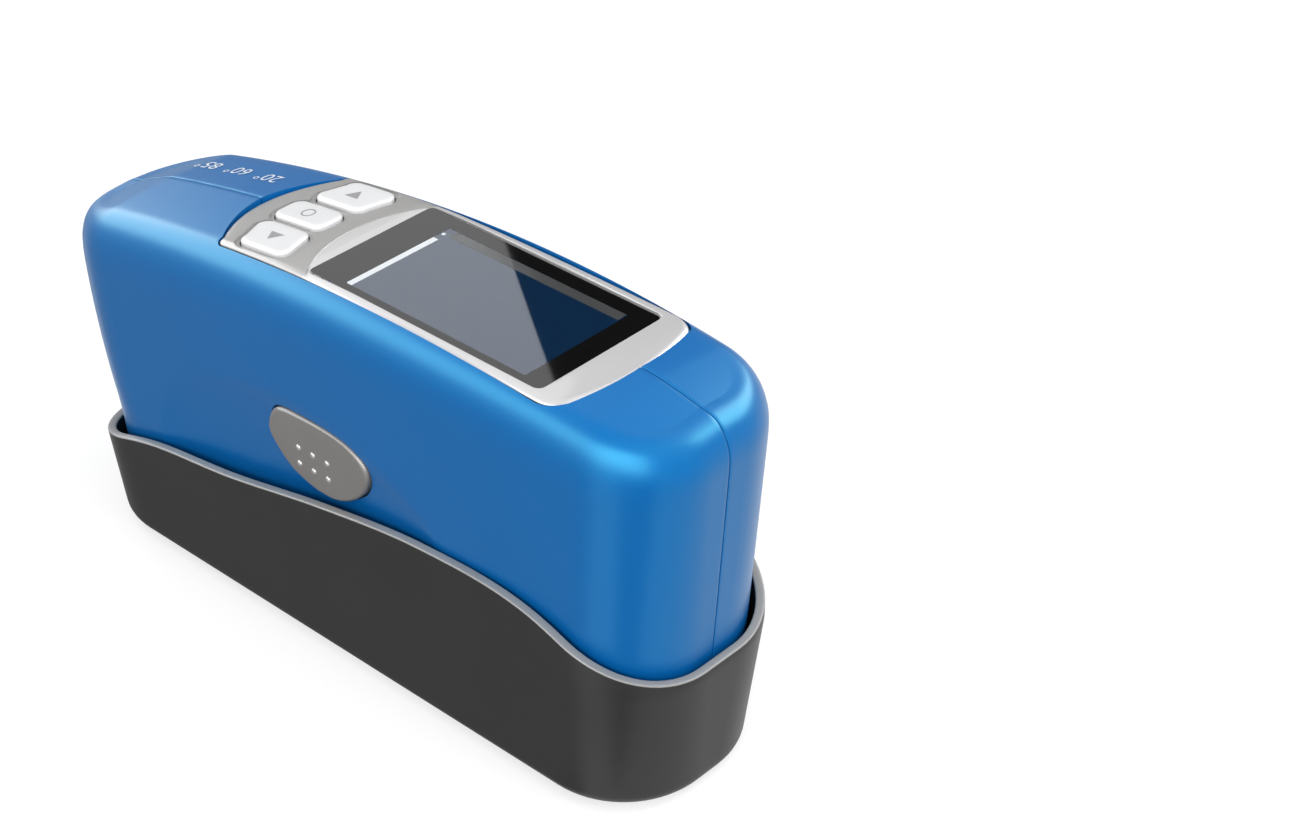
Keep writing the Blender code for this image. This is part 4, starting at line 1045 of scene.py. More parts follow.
@dataclass
class TopPlateForm:
    """Outline and heights of the silver top plate."""

    housing: HousingForm
    level: float = 81.6
    rise: float = 0.9
    depth: float = 3.0
    rear: float = -35.6
    front: float = 59.6
    rear_half: float = 16.2
    front_half: float = 17.4
    rear_sag: float = 5.6
    front_sag: float = 4.0
    window: tuple[float, float, float] = (-5.6, 51.0, 15.1)
    window_recess: float = 0.5
    window_thick: float = 1.2
    window_corner: float = 1.2
    glass: float = 0.5
    ledge: float = 0.9
    edge_fall: float = 0.75
    edge_width: float = 1.4
    hollow: float = 0.45
    hollow_margin: float = 1.2

    def height(self, x: float) -> float:
        """Height of the plate's face.

        Args:
            x: place along the plate.

        Returns:
            The height, flat at the window and bent down at the keys.
        """
        flat = self.level
        bent = self.housing.crest(x) - self.rise
        soft = 1.2
        return 0.5 * (flat + bent - math.sqrt((flat - bent) ** 2 + soft ** 2)) + 0.25

    def outline(self, grow: float, fine: int = 3) -> list[Point2]:
        """Outline of the plate.

        Args:
            grow: how much larger all round.
            fine: how many times finer than the CAD outline.

        Returns:
            The closed outline.
        """
        front_corner, rear_corner = 6.0, 2.0
        rear_edge = self.rear + self.rear_sag
        front_edge = self.front - self.front_sag
        half: list[Point2] = []
        count = 8 * fine
        for i in range(count + 1):
            y = (self.front_half - front_corner * 0.7) * i / count
            half.append((self.front - self.front_sag * 0.75 * (y / self.front_half) ** 2 + grow, y))
        tip_x, tip_y = half[-1]
        count = 5 * fine
        for i in range(1, count + 1):
            a = math.pi / 2 * (0.2 + 0.8 * i / count)
            x = tip_x + (front_edge - front_corner * 0.6 - tip_x) * (1 - math.cos(a))
            half.append((x, tip_y + (self.front_half + grow - tip_y) * math.sin(a)))
        start = half[-1][0]
        count = 12 * fine
        for i in range(1, count + 1):
            t = i / count
            x = start + (rear_edge + rear_corner - start) * t
            half.append((x, self.front_half + (self.rear_half - self.front_half) * t ** 2 + grow))
        count = 4 * fine
        for i in range(1, count + 1):
            a = math.pi / 2 * i / count
            half.append((rear_edge + rear_corner - (rear_corner + grow) * math.sin(a),
                         self.rear_half - rear_corner + (rear_corner + grow) * math.cos(a)))
        count = 8 * fine
        for i in range(1, count + 1):
            y = (self.rear_half - rear_corner) * (1 - i / count)
            half.append((self.rear - grow + self.rear_sag * (y / (self.rear_half - rear_corner)) ** 2, y))
        return mirror_outline(half)

    def slab(self, name: str, low: Callable[[float], float],
             high: Callable[[float], float]) -> bpy.types.Object:
        """Solid across the plate between two heights.

        Args:
            name: the object's name.
            low: lower height by X.
            high: upper height by X.

        Returns:
            The object.
        """
        steps = 100
        rear, front, half = self.rear - 3.0, self.front + 3.0, self.housing.top_half
        xs = [rear + (front - rear) * i / steps for i in range(steps + 1)]
        profile = [(x, low(x)) for x in xs] + [(x, high(x)) for x in reversed(xs)]
        return Shaper.loft(name, [[(x, y, z) for x, z in profile] for y in (half, -half)])


@dataclass
class KeyForm:
    """Outline of one key between two arcs and two sides."""

    low: float
    high: float
    rear: float = -29.2
    front: float = -16.0
    rear_radius: float = 24.1
    front_radius: float = 33.0
    corner: float = 2.4
    rise: float = 0.6
    edge: float = 0.9
    flange: float = 0.45
    flange_height: float = 1.1

    def outline(self, grow: float, steps: int = 12) -> list[Point2]:
        """Outline of the key.

        Args:
            grow: how much larger all round.
            steps: parts of each corner.

        Returns:
            The closed outline.
        """
        low, high = self.low - grow, self.high + grow
        corner = self.corner + grow
        pts: list[Point2] = []
        for rear, y, start in ((False, low, -90), (False, high, 0), (True, high, 90), (True, low, 180)):
            inner = y + corner if y == low else y - corner
            if rear:
                middle = self.rear + inner ** 2 / (2 * self.rear_radius) - grow + corner
            else:
                middle = self.front + inner ** 2 / (2 * self.front_radius) + grow - corner
            for i in range(steps + 1):
                a = math.radians(start + 90 * i / steps)
                pts.append((middle + corner * math.cos(a), inner + corner * math.sin(a)))
        return pts

    @property
    def centre(self) -> Point2:
        """Middle of the key in plan."""
        y = (self.low + self.high) / 2
        x = (self.rear + self.front) / 2 + y * y / (4 * self.rear_radius) + y * y / (4 * self.front_radius)
        return x, y


KEYS = {Body.KEY_UP: KeyForm(-14.6, -5.4), Body.KEY_ENTER: KeyForm(-3.7, 3.7),
        Body.KEY_DOWN: KeyForm(5.4, 14.6)}


@dataclass
class ViewForm:
    """Clear field in the window's print, and the display's parts below it."""

    rear: float = 2.4
    front: float = 46.1
    near: float = -13.4
    far: float = 11.75
    corner: float = 0.3
    panel_rear: float = -2.0
    panel_front: float = 46.0
    panel_near: float = -13.0
    panel_far: float = 14.0
    bar: tuple[float, float, float, float] = (1.4, 3.0, -12.8, 8.3)
    strip: tuple[float, float, float, float] = (3.9, 45.2, 10.15, 12.9)
    dot: Point2 = (2.3, 10.3)


@dataclass
class ButtonForm:
    """The leaf-shaped measure button in the side view."""

    outline: tuple[Point2, ...] = (
        (-14.3, 47.2), (-11.6, 51.9), (-4.0, 53.0), (5.6, 52.7), (11.2, 50.3),
        (12.4, 46.6), (9.9, 42.0), (4.6, 38.6), (-1.6, 38.1), (-8.2, 40.0), (-12.7, 43.7))
    centre: Point2 = (-1.2, 45.6)
    face: float = 20.9
    bump: Point2 = (-1.7, 44.3)
    pitch: float = 3.85
    row: float = 3.5
    radius: float = 0.68
    bump_share: float = 0.62
    flange: float = 1.06
    flange_levels: Point2 = (15.4, 16.6)
    bevel: float = 0.95

    def ring(self, factor: float, y: float, steps: int = 10) -> list[Point3]:
        """Outline scaled about the centre at a depth."""
        cx, cz = self.centre
        return [(cx + (x - cx) * factor, -y, cz + (z - cz) * factor) for x,
                z in closed_curve(self.outline, steps)]


class Instrument:
    """The blue instrument: housing, top plate, window, keys, button and print."""

    def __init__(self, paints: Paintbox) -> None:
        """Keep the finishes and set up the forms.

        Args:
            paints: the finishes.
        """
        self.paints = paints
        self.form = HousingForm()
        self.plate = TopPlateForm(self.form)
        self.button = ButtonForm()
        self.view = ViewForm()

    def _add(self, obj: bpy.types.Object, finish: str, body: Body,
             nodes: Sequence[str] = ()) -> bpy.types.Object:
        """Finish a piece and let it ride.

        Args:
            obj: the piece.
            finish: the finish's name.
            body: the body it rides on.
            nodes: CAD nodes it stands for.

        Returns:
            The piece.
        """
        if not obj.data.materials:
            obj.data.materials.append(self.paints.get(finish))
        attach(obj, body.value)
        self.paints.slot(finish)
        if nodes:
            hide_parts(*nodes)
        log.info("%s: %d faces on %s", obj.name, len(obj.data.polygons), body.value)
        return obj

    def _openings(self) -> list[bpy.types.Object]:
        """Solids that the housing is open for."""
        plate = self.plate
        hole = Shaper.prism("hole", plate.outline(GAP), THROUGH)
        Shaper.combine(hole, plate.slab("over", lambda x: plate.height(x) - plate.depth - GAP,
                                        lambda x: OVER), Cut.KEEP)
        grown = 1 + 2 * GAP / 20
        button = Shaper.loft("button_hole", [self.button.ring(grown, y) for y in (12.0, 30.0)])
        socket = Shaper.box("socket_hole", (-82.0, -4.9, 38.0), (-71.0, 4.9, 42.0))
        return [hole, button, socket]

    def housing(self) -> None:
        """Both halves of the housing."""
        for side, node in ((Side.LEFT, "housing_left"), (Side.RIGHT, "housing_right")):
            half = HousingHalf(side, self.form, self._openings).build(self.paints.get("paint"))
            self._add(half, "paint", Body.INSTRUMENT, [node])

    def top_plate(self) -> None:
        """Silver plate with rounded outer edge, window rebate and key hollow."""
        plate = self.plate
        rear, front, half = plate.window
        fall, turns = plate.edge_fall, 8
        full = plate.outline(0.0)
        rings = [[(x, y, plate.height(x) - plate.depth) for x, y in full],
                 [(x, y, plate.height(x) - fall) for x, y in full]]
        for turn in range(1, turns + 1):
            a = math.pi / 2 * turn / turns
            ring = plate.outline(-plate.edge_width * (1 - math.cos(a)))
            rings.append([(x, y, plate.height(x) - fall * (1 - math.sin(a))) for x, y in ring])
        obj = self._strip_capped("top_plate", rings)
        rebate = plate.level - plate.window_recess - plate.window_thick - GAP
        for grow, low, soft in ((GAP, rebate, 0.2), (-plate.ledge, CUT_LOW, 0.0)):
            corner = plate.window_corner + max(grow, 0.0)

            def frame_outline(extra: float, grow: float = grow, corner: float = corner) -> list[Point2]:
                """Outline of the window's cut, larger by an extra margin."""
                return rounded_box(rear - grow - extra, front + grow + extra, half + grow + extra,
                                   corner + extra)
            levels = [(0, low), (0, plate.level - soft), (soft, plate.level), (soft + 1.0, plate.level + 1.0)]
            Shaper.combine(obj, Shaper.prism("window_cut", (), levels, frame_outline), Cut.TAKE)
        hollow: bpy.types.Object | None = None
        for key in KEYS.values():
            lobe = Shaper.prism("lobe", key.outline(plate.hollow_margin), THROUGH)
            if hollow is None:
                hollow = lobe
            else:
                Shaper.combine(hollow, lobe, Cut.ADD)
        Shaper.combine(hollow, plate.slab("over", lambda x: plate.height(x) - plate.hollow, lambda x: OVER),
                       Cut.KEEP)
        Shaper.combine(obj, hollow, Cut.TAKE)
        for key in KEYS.values():
            Shaper.combine(obj, Shaper.prism("key_hole", key.outline(GAP), THROUGH), Cut.TAKE)
        Shaper.combine(obj, self._arc_groove(), Cut.TAKE)
        obj.data.materials.clear()
        for finish in ("silver", "dish", "skirt"):
            obj.data.materials.append(self.paints.get(finish))
        outer = {(round(x, 2), round(y, 2)) for x, y in full}
        places = [(round(v.co.x / MM, 2), round(v.co.y / MM, 2)) in outer for v in obj.data.vertices]
        for poly in obj.data.polygons:
            x, y, z = poly.center / MM
            near_window = rear - 1.0 < x < front + 1.0 and abs(y) < half + 0.5
            # Faces sunk below the plate's face round the window get the darker silver: painted shade in that
            # recess.
            painted_recess_shade = near_window and z < plate.height(x) - 0.06
            # The plate's outer upright edge gets near-black paint: painted shade for the gap round the plate.
            skirt = abs(poly.normal.z) < 0.2 and all(places[i] for i in poly.vertices)
            poly.material_index = 2 if skirt else 1 if painted_recess_shade or x < self.step_x(y) else 0
        Shaper.sharpen(obj, 25.0)
        self._add(obj, "silver", Body.INSTRUMENT, ["top_bezel"])

    @staticmethod
    def step_x(y: float) -> float:
        """X of the arc between the key area and the brighter window surround."""
        radius = 24.4
        return -11.2 + radius - math.sqrt(max(radius ** 2 - y * y, 0.0))

    def _arc_groove(self) -> bpy.types.Object:
        """Thin solid along the arc between the key area and the window surround.

        Returns:
            The solid to cut out.
        """
        width, depth, end = 0.3, 0.15, 19.0
        plate = self.plate
        ys = [end * (i / 40 - 1) for i in range(81)]
        outline = [(self.step_x(y), y) for y in ys] + [(self.step_x(y) + width, y) for y in reversed(ys)]
        groove = Shaper.prism("arc_groove", outline, [(0, 70.0), (0, 90.0)])
        over = plate.slab("over", lambda x: plate.height(x) - depth, lambda x: OVER)
        Shaper.combine(groove, over, Cut.KEEP)
        return groove

    def _strip_capped(self, name: str, rings: Sequence[Sequence[Point3]]) -> bpy.types.Object:
        """Loft whose caps are strips across Y, for outlines mirrored about the centre plane.

        Args:
            name: the object's name.
            rings: rings from mirrored outlines.

        Returns:
            The object.
        """
        count = len(rings[0])
        faces = Shaper.bands(count, len(rings))
        last = count // 2
        for base in (0, (len(rings) - 1) * count):
            faces.append((base, base + 1, base + count - 1))
            for i in range(1, last - 1):
                faces.append((base + i, base + i + 1, base + count - i - 1, base + count - i))
            faces.append((base + last - 1, base + last, base + last + 1))
        return Shaper.solid(name, [p for ring in rings for p in ring], faces)

    def window(self) -> None:
        """Glass, printed border and the display under it."""
        plate = self.plate
        rear, front, half = plate.window
        top = plate.level - plate.window_recess
        edge, skin, grown = 0.15, 0.02, 0.04
        below, film, bar_height = 0.08, 0.4, 0.04

        def outline(extra: float) -> list[Point2]:
            """Outline of the glass, larger by an extra margin."""
            return rounded_box(rear - extra, front + extra, half + extra, plate.window_corner)
        levels = [(0, top - plate.glass), (0, top - edge), (-edge, top - skin)]
        glass = Shaper.prism("window_glass", (), levels, outline)
        glass.data.materials.append(self.paints.get("clear"))
        glass.data.materials.append(self.paints.get("window"))
        for poly in glass.data.polygons:
            poly.material_index = 1 if poly.normal.z > 0.5 else 0
        Shaper.sharpen(glass, 20.0)
        self._add(glass, "window", Body.INSTRUMENT, ["screen_window"])
        mask = Shaper.prism("window_print", (), [(grown, top - skin / 2), (grown, top)], outline)
        view = self.view
        hole = rounded_box(view.rear, view.front, (view.far - view.near) / 2, view.corner,
                           (view.far + view.near) / 2)
        mask.data.materials.append(self.paints.get("mask"))
        mask.data.materials.append(self.paints.get("clear"))
        Shaper.combine(mask, Shaper.prism("hole", hole, [(0, top - 2), (0, top + 2)]), Cut.TAKE)
        for poly in mask.data.polygons:
            poly.material_index = 1 if poly.normal.z < -0.5 else 0
        Shaper.sharpen(mask)
        self._add(mask, "mask", Body.INSTRUMENT)
        deep = top - plate.glass - below
        panel = Shaper.box("display_film", (view.panel_rear, view.panel_near, deep - film),
                           (view.panel_front, view.panel_far, deep))
        self._add(panel, "display", Body.INSTRUMENT, ["lcd_panel"])
        bar = Shaper.box("display_rear_bar", (view.bar[0], view.bar[2], deep),
                         (view.bar[1], view.bar[3], deep + bar_height))
        self._add(bar, "bar_white", Body.INSTRUMENT)
        far = Shaper.box("display_far_bar", (view.strip[0], view.strip[2], deep),
                         (view.strip[1], view.strip[3], deep + bar_height))
        self._add(far, "frame_grey", Body.INSTRUMENT)
        spot = Matrix.Translation((*view.dot, deep))
        dot = Shaper.turned("display_dot", [(0.4, 0.0), (0.4, 0.03), (0.3, 0.045)], spot, 24)
        Shaper.sharpen(dot)
        self._add(dot, "bar_white", Body.INSTRUMENT)

    def keys(self) -> None:
        """Three keys with soft edges and a plain sign on each."""
        plate = self.plate
        for body, key in KEYS.items():
            rings = []
            under = plate.depth + GAP
            for grow, down in ((key.flange, under + key.flange_height), (key.flange, under), (0.0, under),
                               (0.0, 0.0)):
                rings.append([(x, y, plate.height(x) - down) for x, y in key.outline(grow)])
            for turn in range(1, 9):
                a = math.pi / 2 * turn / 8
                inset = key.edge * (1 - math.cos(a))
                rise = key.rise - key.rise * (1 - math.sin(a))
                rings.append([(x, y, plate.height(x) + rise) for x, y in key.outline(-inset)])
            rings.append([(x, y, plate.height(x) + key.rise) for x, y in key.outline(-2 * key.edge)])
            cap = Shaper.loft(body.value + "_cap", rings)
            Shaper.sharpen(cap, 40.0)
            self._add(cap, "key", body, [body.value])
            self._sign(body, key)

    def _sign(self, body: Body, key: KeyForm) -> None:
        """Printed triangle or ring on a key.

        Args:
            body: the key.
            key: its form.
        """
        cx, cy = key.centre
        z = self.plate.height(cx) + key.rise
        levels = [(0, -0.03), (0, 0.05)]
        if body is Body.KEY_ENTER:
            radius, share = 1.45, 0.8
            outer = [(radius * math.cos(a),
                      radius * math.sin(a)) for a in (math.tau * i / 32 for i in range(32))]
            sign = Shaper.prism("enter_sign", outer, levels)
            inner = [(share * x, share * y) for x, y in outer]
            Shaper.combine(sign, Shaper.prism("ring_hole", inner, [(0, -1), (0, 1)]), Cut.TAKE)
        else:
            turn = -1 if body is Body.KEY_UP else 1
            side, foot, tip = 1.7, -1.1 * turn, 1.5 * turn
            sign = Shaper.prism(body.value + "_sign", [(-side, foot), (side, foot), (0.0, tip)], levels)
        Shaper.sharpen(sign)
        slope = math.atan(self.plate.height(cx + 1) - self.plate.height(cx))
        sign.data.transform(Matrix.Translation(Vector((cx, cy, z)) * MM) @ Matrix.Rotation(-slope, 4, "Y"))
        self._add(sign, "sign", body)

    def measure_button(self) -> None:
        """Leaf-shaped button with a bevelled edge and six bumps."""
        form = self.button
        rings = [form.ring(form.flange, y) for y in form.flange_levels]
        rings += [form.ring(1.0, y) for y in (form.flange_levels[1], form.face - form.bevel)]
        for turn in range(1, 9):
            a = math.pi / 2 * turn / 8
            rings.append(form.ring(1.0 - 0.085 * (1 - math.cos(a)),
                                   form.face - form.bevel + 0.75 * math.sin(a)))
        rings += [form.ring(0.75, form.face - 0.08), form.ring(0.45, form.face - 0.01),
                  form.ring(0.15, form.face)]
        cap = Shaper.loft("measure_button_cap", rings)
        Shaper.sharpen(cap, 50.0)
        self._add(cap, "button", Body.BUTTON, ["measure_button"])
        height = form.radius * form.bump_share
        profile = [(form.radius * math.cos(a), height * math.sin(a))
                   for a in (math.pi / 2 * i / 8 for i in range(8))] + [(0.02, height)]
        for row in (-1, 1):
            for column in (-1, 0, 1):
                spot = Vector((form.bump[0] + column * form.pitch, -form.face + 0.08,
                               form.bump[1] + row * form.row / 2))
                place = Matrix.Translation(spot) @ Matrix.Rotation(math.pi / 2, 4, "X")
                bump = Shaper.turned(f"button_bump_{row}_{column}", profile, place, 20)
                # Each bump gets the lighter bump finish: a painted highlight on the button's warm grey
                # plastic.
                self._add(bump, "bump", Body.BUTTON)

    def numerals(self) -> None:
        """Plain white angle numbers printed on the rear of the top."""
        size, place_x, place_y, lift, fine = 4.6, -52.0, 8.0, 0.09, 0.5
        curve = bpy.data.curves.new("angles", "FONT")
        curve.body = "20°  60°  85°"
        curve.size = size * MM
        curve.align_x = "CENTER"
        curve.align_y = "CENTER"
        curve.resolution_u = 4
        text = bpy.data.objects.new("angles", curve)
        bpy.context.scene.collection.objects.link(text)
        bpy.context.view_layer.update()
        mesh = bpy.data.meshes.new_from_object(text.evaluated_get(bpy.context.evaluated_depsgraph_get()))
        bpy.data.objects.remove(text)
        bm = bmesh.new()
        bm.from_mesh(mesh)
        bmesh.ops.triangulate(bm, faces=bm.faces)
        for _ in range(4):
            long = [e for e in bm.edges if e.calc_length() > fine * MM]
            bmesh.ops.subdivide_edges(bm, edges=long, cuts=1)
            bmesh.ops.triangulate(bm, faces=bm.faces)
        bm.to_mesh(mesh)
        bm.free()
        mesh.transform(Matrix.Rotation(math.pi, 4, "Z"))
        for vert in mesh.vertices:
            x, y = vert.co.x / MM + place_x, vert.co.y / MM + place_y
            z = self.form.crest(x) - self.form.dip(abs(y)) + lift
            vert.co = Vector((x, y, z)) * MM
        obj = bpy.data.objects.new("angle_numbers", mesh)
        bpy.context.scene.collection.objects.link(obj)
        self._add(obj, "print_white", Body.INSTRUMENT)

    def build(self) -> None:
        """Make every visible piece of the instrument."""
        self.housing()
        self.top_plate()
        self.window()
        self.keys()
        self.measure_button()
        self.numerals()


def rounded_box(rear: float, front: float, half: float, corner: float, middle: float = 0.0,
                steps: int = 6) -> list[Point2]:
    """Rounded rectangle.

    Args:
        rear: lowest X.
        front: highest X.
        half: half width.
        corner: corner radius.
        middle: Y of its middle line.
        steps: parts of each corner.

    Returns:
        The closed outline.
    """
    pts: list[Point2] = []
    for cx, cy, start in ((front - corner, -half + corner, -90), (front - corner, half - corner, 0),
                          (rear + corner, half - corner, 90), (rear + corner, -half + corner, 180)):
        for i in range(steps + 1):
            a = math.radians(start + 90 * i / steps)
            pts.append((cx + corner * math.cos(a), middle + cy + corner * math.sin(a)))
    return pts


@dataclass
class BaseForm:
    """The calibration base's tub."""

    x: float = 1.1
    half_length: float = 77.9
    half_width: float = 22.4
    corner: float = 17.9
    draft: float = 1 / 9
    width_draft: float = 1 / 16
    wall: float = 1.7
    bottom: float = 1.0
    floor: float = 2.4
    edge: float = 3.0
    rim_edge: float = 0.3
    rim_level: float = 29.0
    heights: tuple[float, ...] = (17.9, 26.6, 31.0, 36.6, 40.6, 40.2, 30.4)
    counts: tuple[int, int, int] = (5, 18, 70)
    foot: Point2 = (52.0, 11.0)
    pillar: Point2 = (60.0, 8.0)

    def ring(self, z: float, inset: float) -> list[Point2]:
        """Half outline of the tub at a height.

        Args:
            z: height.
            inset: how far inside the outer wall.

        Returns:
            Points on the +Y side.
        """
        drop = max(self.rim_level - z, 0.0)
        length = self.half_length - drop * self.draft - inset
        width = self.half_width - drop * self.width_draft - inset
        corner = self.corner - inset
        return rounded_plan(self.x + length, self.x - length, width, (corner, corner), self.counts)

    def rim(self, x: float) -> float:
        """Height of the rim."""
        return spline(self.heights, (x - self.x + self.half_length) / (2 * self.half_length))


class Base:
    """The calibration base's tub with its pillars; the pieces in it stay CAD nodes."""

    def __init__(self, paints: Paintbox) -> None:
        """Keep the finishes."""
        self.paints = paints
        self.form = BaseForm()

    def tub(self) -> None:
        """Thin-walled tub with a round bottom edge and a round rim whose lip is painted light grey, a painted
        highlight.
        """
        form = self.form
        guide = form.ring(form.rim_level, 0.0)
        start_out = form.bottom + form.edge
        start_in = form.bottom + form.floor
        rings: list[list[Point3]] = []
        edge_turns, lip_turns, steps = 8, 4, 24
        for turn in range(edge_turns):
            a = math.pi / 2 * turn / edge_turns
            z = form.bottom + form.edge * (1 - math.cos(a))
            inset = form.edge * (1 - math.sin(a))
            rings.append(mirror_rows([(x, y, z) for x, y in form.ring(z, inset)]))
        radius = form.rim_edge
        for level in range(steps + 1):
            rings.append(mirror_rows(self._row(guide, level / steps, start_out, 0.0, -radius)))
        for turn in range(1, lip_turns + 1):
            a = math.pi / 2 * turn / lip_turns
            inset, lift = radius * (1 - math.cos(a)), radius * math.sin(a) - radius
            rings.append(mirror_rows(self._row(guide, 1.0, start_out, inset, lift)))
        for turn in range(lip_turns):
            a = math.pi / 2 * turn / lip_turns
            inset, lift = form.wall - radius * (1 - math.sin(a)), radius * math.cos(a) - radius
            rings.append(mirror_rows(self._row(guide, 1.0, start_out, inset, lift)))
        for level in range(steps + 1):
            rings.append(mirror_rows(self._row(guide, 1 - level / steps, start_in, form.wall, -radius)))
        # The rim's rounded lip gets the light grey finish: a painted highlight on the tub's charcoal plastic.
        first_rim = edge_turns + steps
        marks = [1 if 0 <= k - first_rim <= 2 * lip_turns else 0 for k in range(len(rings) - 1)]
        tub = Shaper.loft("tub_skin", rings, marks)
        tub.data.materials.append(self.paints.get("tub"))
        tub.data.materials.append(self.paints.get("rim"))
        for x, y in ((-1, -1), (-1, 1), (1, -1), (1, 1)):
            foot = Matrix.Translation((form.x + form.foot[0] * x, form.foot[1] * y, 0.0))
            Shaper.combine(tub, Shaper.turned("pocket", [(4.3, 0.0), (4.3, 1.9)], foot, 32), Cut.TAKE)
            spot = Matrix.Translation((form.x + form.pillar[0] * x, form.pillar[1] * y, 0.0))
            pillar = Shaper.turned("pillar", [(2.6, start_in - 1.0), (2.2, 4.5), (2.0, 4.7)], spot, 32)
            Shaper.combine(tub, pillar, Cut.ADD)
        Shaper.combine(tub, Shaper.box("pocket", (-33.3, -12.3, 2.2), (33.3, 12.3, 9.0)), Cut.TAKE)
        Shaper.sharpen(tub, 40.0)
        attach(tub, Body.BASE.value)
        self.paints.slot("tub")
        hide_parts("base_tub")
        log.info("tub: %d faces", len(tub.data.polygons))

    def _row(self, guide: Sequence[Point2], t: float, start: float, inset: float,
             lift: float) -> list[Point3]:
        """One row of the wall between the floor and the rim.

        Args:
            guide: the plan that gives each column its rim height.
            t: 0 at the start height and 1 at the rim.
            start: first height.
            inset: how far inside the outer wall.
            lift: how far above the rim line at t = 1.

        Returns:
            The row's points.
        """
        row = []
        for i, (gx, _) in enumerate(guide):
            z = start + (self.form.rim(gx) + lift - start) * t
            x, y = self.form.ring(z, inset)[i]
            row.append((x, y, z))
        return row

    def build(self) -> None:
        """Make the visible pieces of the base."""
        self.tub()


class Innards:
    """CAD nodes that are shown as they are, each with its finish."""

    FINISHES = {
        "standard_tile": "tile", "tile_frame": "black", "tile_pad": "rubber", "bottom_plate": "black",
        "optics_block": "anodised", "main_board": "board", "side_board": "board", "processor": "black",
        "buzzer": "black", "battery": "wrap", "usb_socket": "steel", "measure_switch": "black",
        "lcd_carrier": "carrier"}
    PREFIXES = {"foot_": "rubber", "bottom_screw_": "steel", "key_switch_": "black", "source_lens_": "lens",
                "receiver_lens_": "lens", "source_led_": "lamp", "receiver_": "can"}

    def __init__(self, paints: Paintbox) -> None:
        """Keep the finishes."""
        self.paints = paints

    def finish_of(self, node: str) -> str | None:
        """Finish of a CAD node.

        Args:
            node: the node's name.

        Returns:
            The finish's name, or None for a node that a fine piece replaces.
        """
        if node in self.FINISHES:
            return self.FINISHES[node]
        for prefix, finish in self.PREFIXES.items():
            if node.startswith(prefix):
                return finish
        return None

    def build(self) -> None:
        """Finish every CAD node that stays visible."""
        for name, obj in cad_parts.items():
            finish = self.finish_of(name)
            if finish is None or obj.hide_render:
                continue
            obj.data.materials.clear()
            obj.data.materials.append(self.paints.get(finish))
            Shaper.sharpen(obj, 35.0)
            self.paints.slot(finish)
            log.info("%s: finished as %s", name, finish)


@dataclass
class Camera:
    """The photograph's view, from a fit of the object's edges."""

    place: Point3 = (313.54, -276.5, 328.99)
    azimuth: float = 42.216
    elevation: float = 34.389
    focal_px: float = 2710.0
    width_px: float = 1307.0
    sensor: float = 36.0

    def build(self) -> None:
        """Make the scene's camera."""
        data = bpy.data.cameras.new("photo_view")
        data.sensor_width = self.sensor
        data.lens = self.focal_px / self.width_px * self.sensor
        data.clip_start = 0.01
        data.clip_end = 20.0
        camera = bpy.data.objects.new("photo_view", data)
        bpy.context.scene.collection.objects.link(camera)
        camera.location = Vector(self.place) * MM
        camera.rotation_euler = (math.radians(90.0 - self.elevation), 0.0, math.radians(self.azimuth))
        bpy.context.scene.camera = camera


@dataclass
class Lamp:
    """One soft area light, which the cards stand for in mirrored views."""

    name: str
    place: Point3
    size: Point2
    power: float
    target: Point3 = (0.0, 0.0, 0.05)
    colour: Colour = (1.0, 1.0, 1.0)

    def build(self) -> None:
        """Make the light."""
        data = bpy.data.lights.new(self.name, "AREA")
        data.shape = "RECTANGLE"
        data.size, data.size_y = self.size
        data.energy = self.power
        data.color = self.colour
        lamp = bpy.data.objects.new(self.name, data)
        bpy.context.scene.collection.objects.link(lamp)
        lamp.location = self.place
        aim = Vector(self.target) - Vector(self.place)
        lamp.rotation_euler = aim.to_track_quat("-Z", "Y").to_euler()
        lamp.visible_glossy = False


def screen(name: str, corners: Sequence[Vector], strength: float) -> bpy.types.Object:
    """Flat card that only glossy surfaces see.

    Args:
        name: the object's name.
        corners: its four corners in metres.
        strength: how bright it is, 0 for black.

    Returns:
        The card.
    """
    mesh = bpy.data.meshes.new(name)
    mesh.from_pydata([tuple(c) for c in corners], [], [(0, 1, 2, 3)])
    obj = bpy.data.objects.new(name, mesh)
    bpy.context.scene.collection.objects.link(obj)
    graph = NodeGraph(name)
    glow = graph.add("ShaderNodeEmission")
    glow.inputs["Color"].default_value = (1.0, 1.0, 1.0, 1.0)
    glow.inputs["Strength"].default_value = strength
    graph.link(glow.outputs["Emission"], graph.output.inputs["Surface"])
    graph.tree.nodes.remove(graph.shader)
    mesh.materials.append(graph.material)
    obj.visible_camera = False
    obj.visible_diffuse = False
    obj.visible_shadow = False
    obj.visible_transmission = False
    obj.visible_volume_scatter = False
    return obj


@dataclass
class SkyCard:
    """A bright upright card that glossy faces mirror; metres here.

    Attributes:
        name: the card's name.
        bearings: where it starts and ends round the object, degrees from +X.
        heights: its lower and upper edge.
        strength: how bright it is.
        reach: distance of its upright edges.
    """

    name: str
    bearings: Point2
    heights: Point2
    strength: float
    reach: float = 1.2

    def build(self) -> None:
        """Hang the card."""
        start, end = (Vector((math.cos(math.radians(a)), math.sin(math.radians(a)), 0.0)) * self.reach
                      for a in self.bearings)
        low, high = (Vector((0.0, 0.0, z)) for z in self.heights)
        screen(self.name, (start + low, end + low, end + high, start + high), self.strength)


@dataclass
class FloorCard:
    """A grey card on the floor that glossy faces mirror instead of the white floor; metres here.

    Attributes:
        name: the card's name.
        corners: its corners seen from above.
        strength: how bright it is.
    """

    name: str
    corners: tuple[Point2, Point2, Point2, Point2]
    strength: float

    def build(self) -> None:
        """Lay the card down."""
        screen(self.name, [Vector((x, y, 0.0003)) for x, y in self.corners], self.strength)


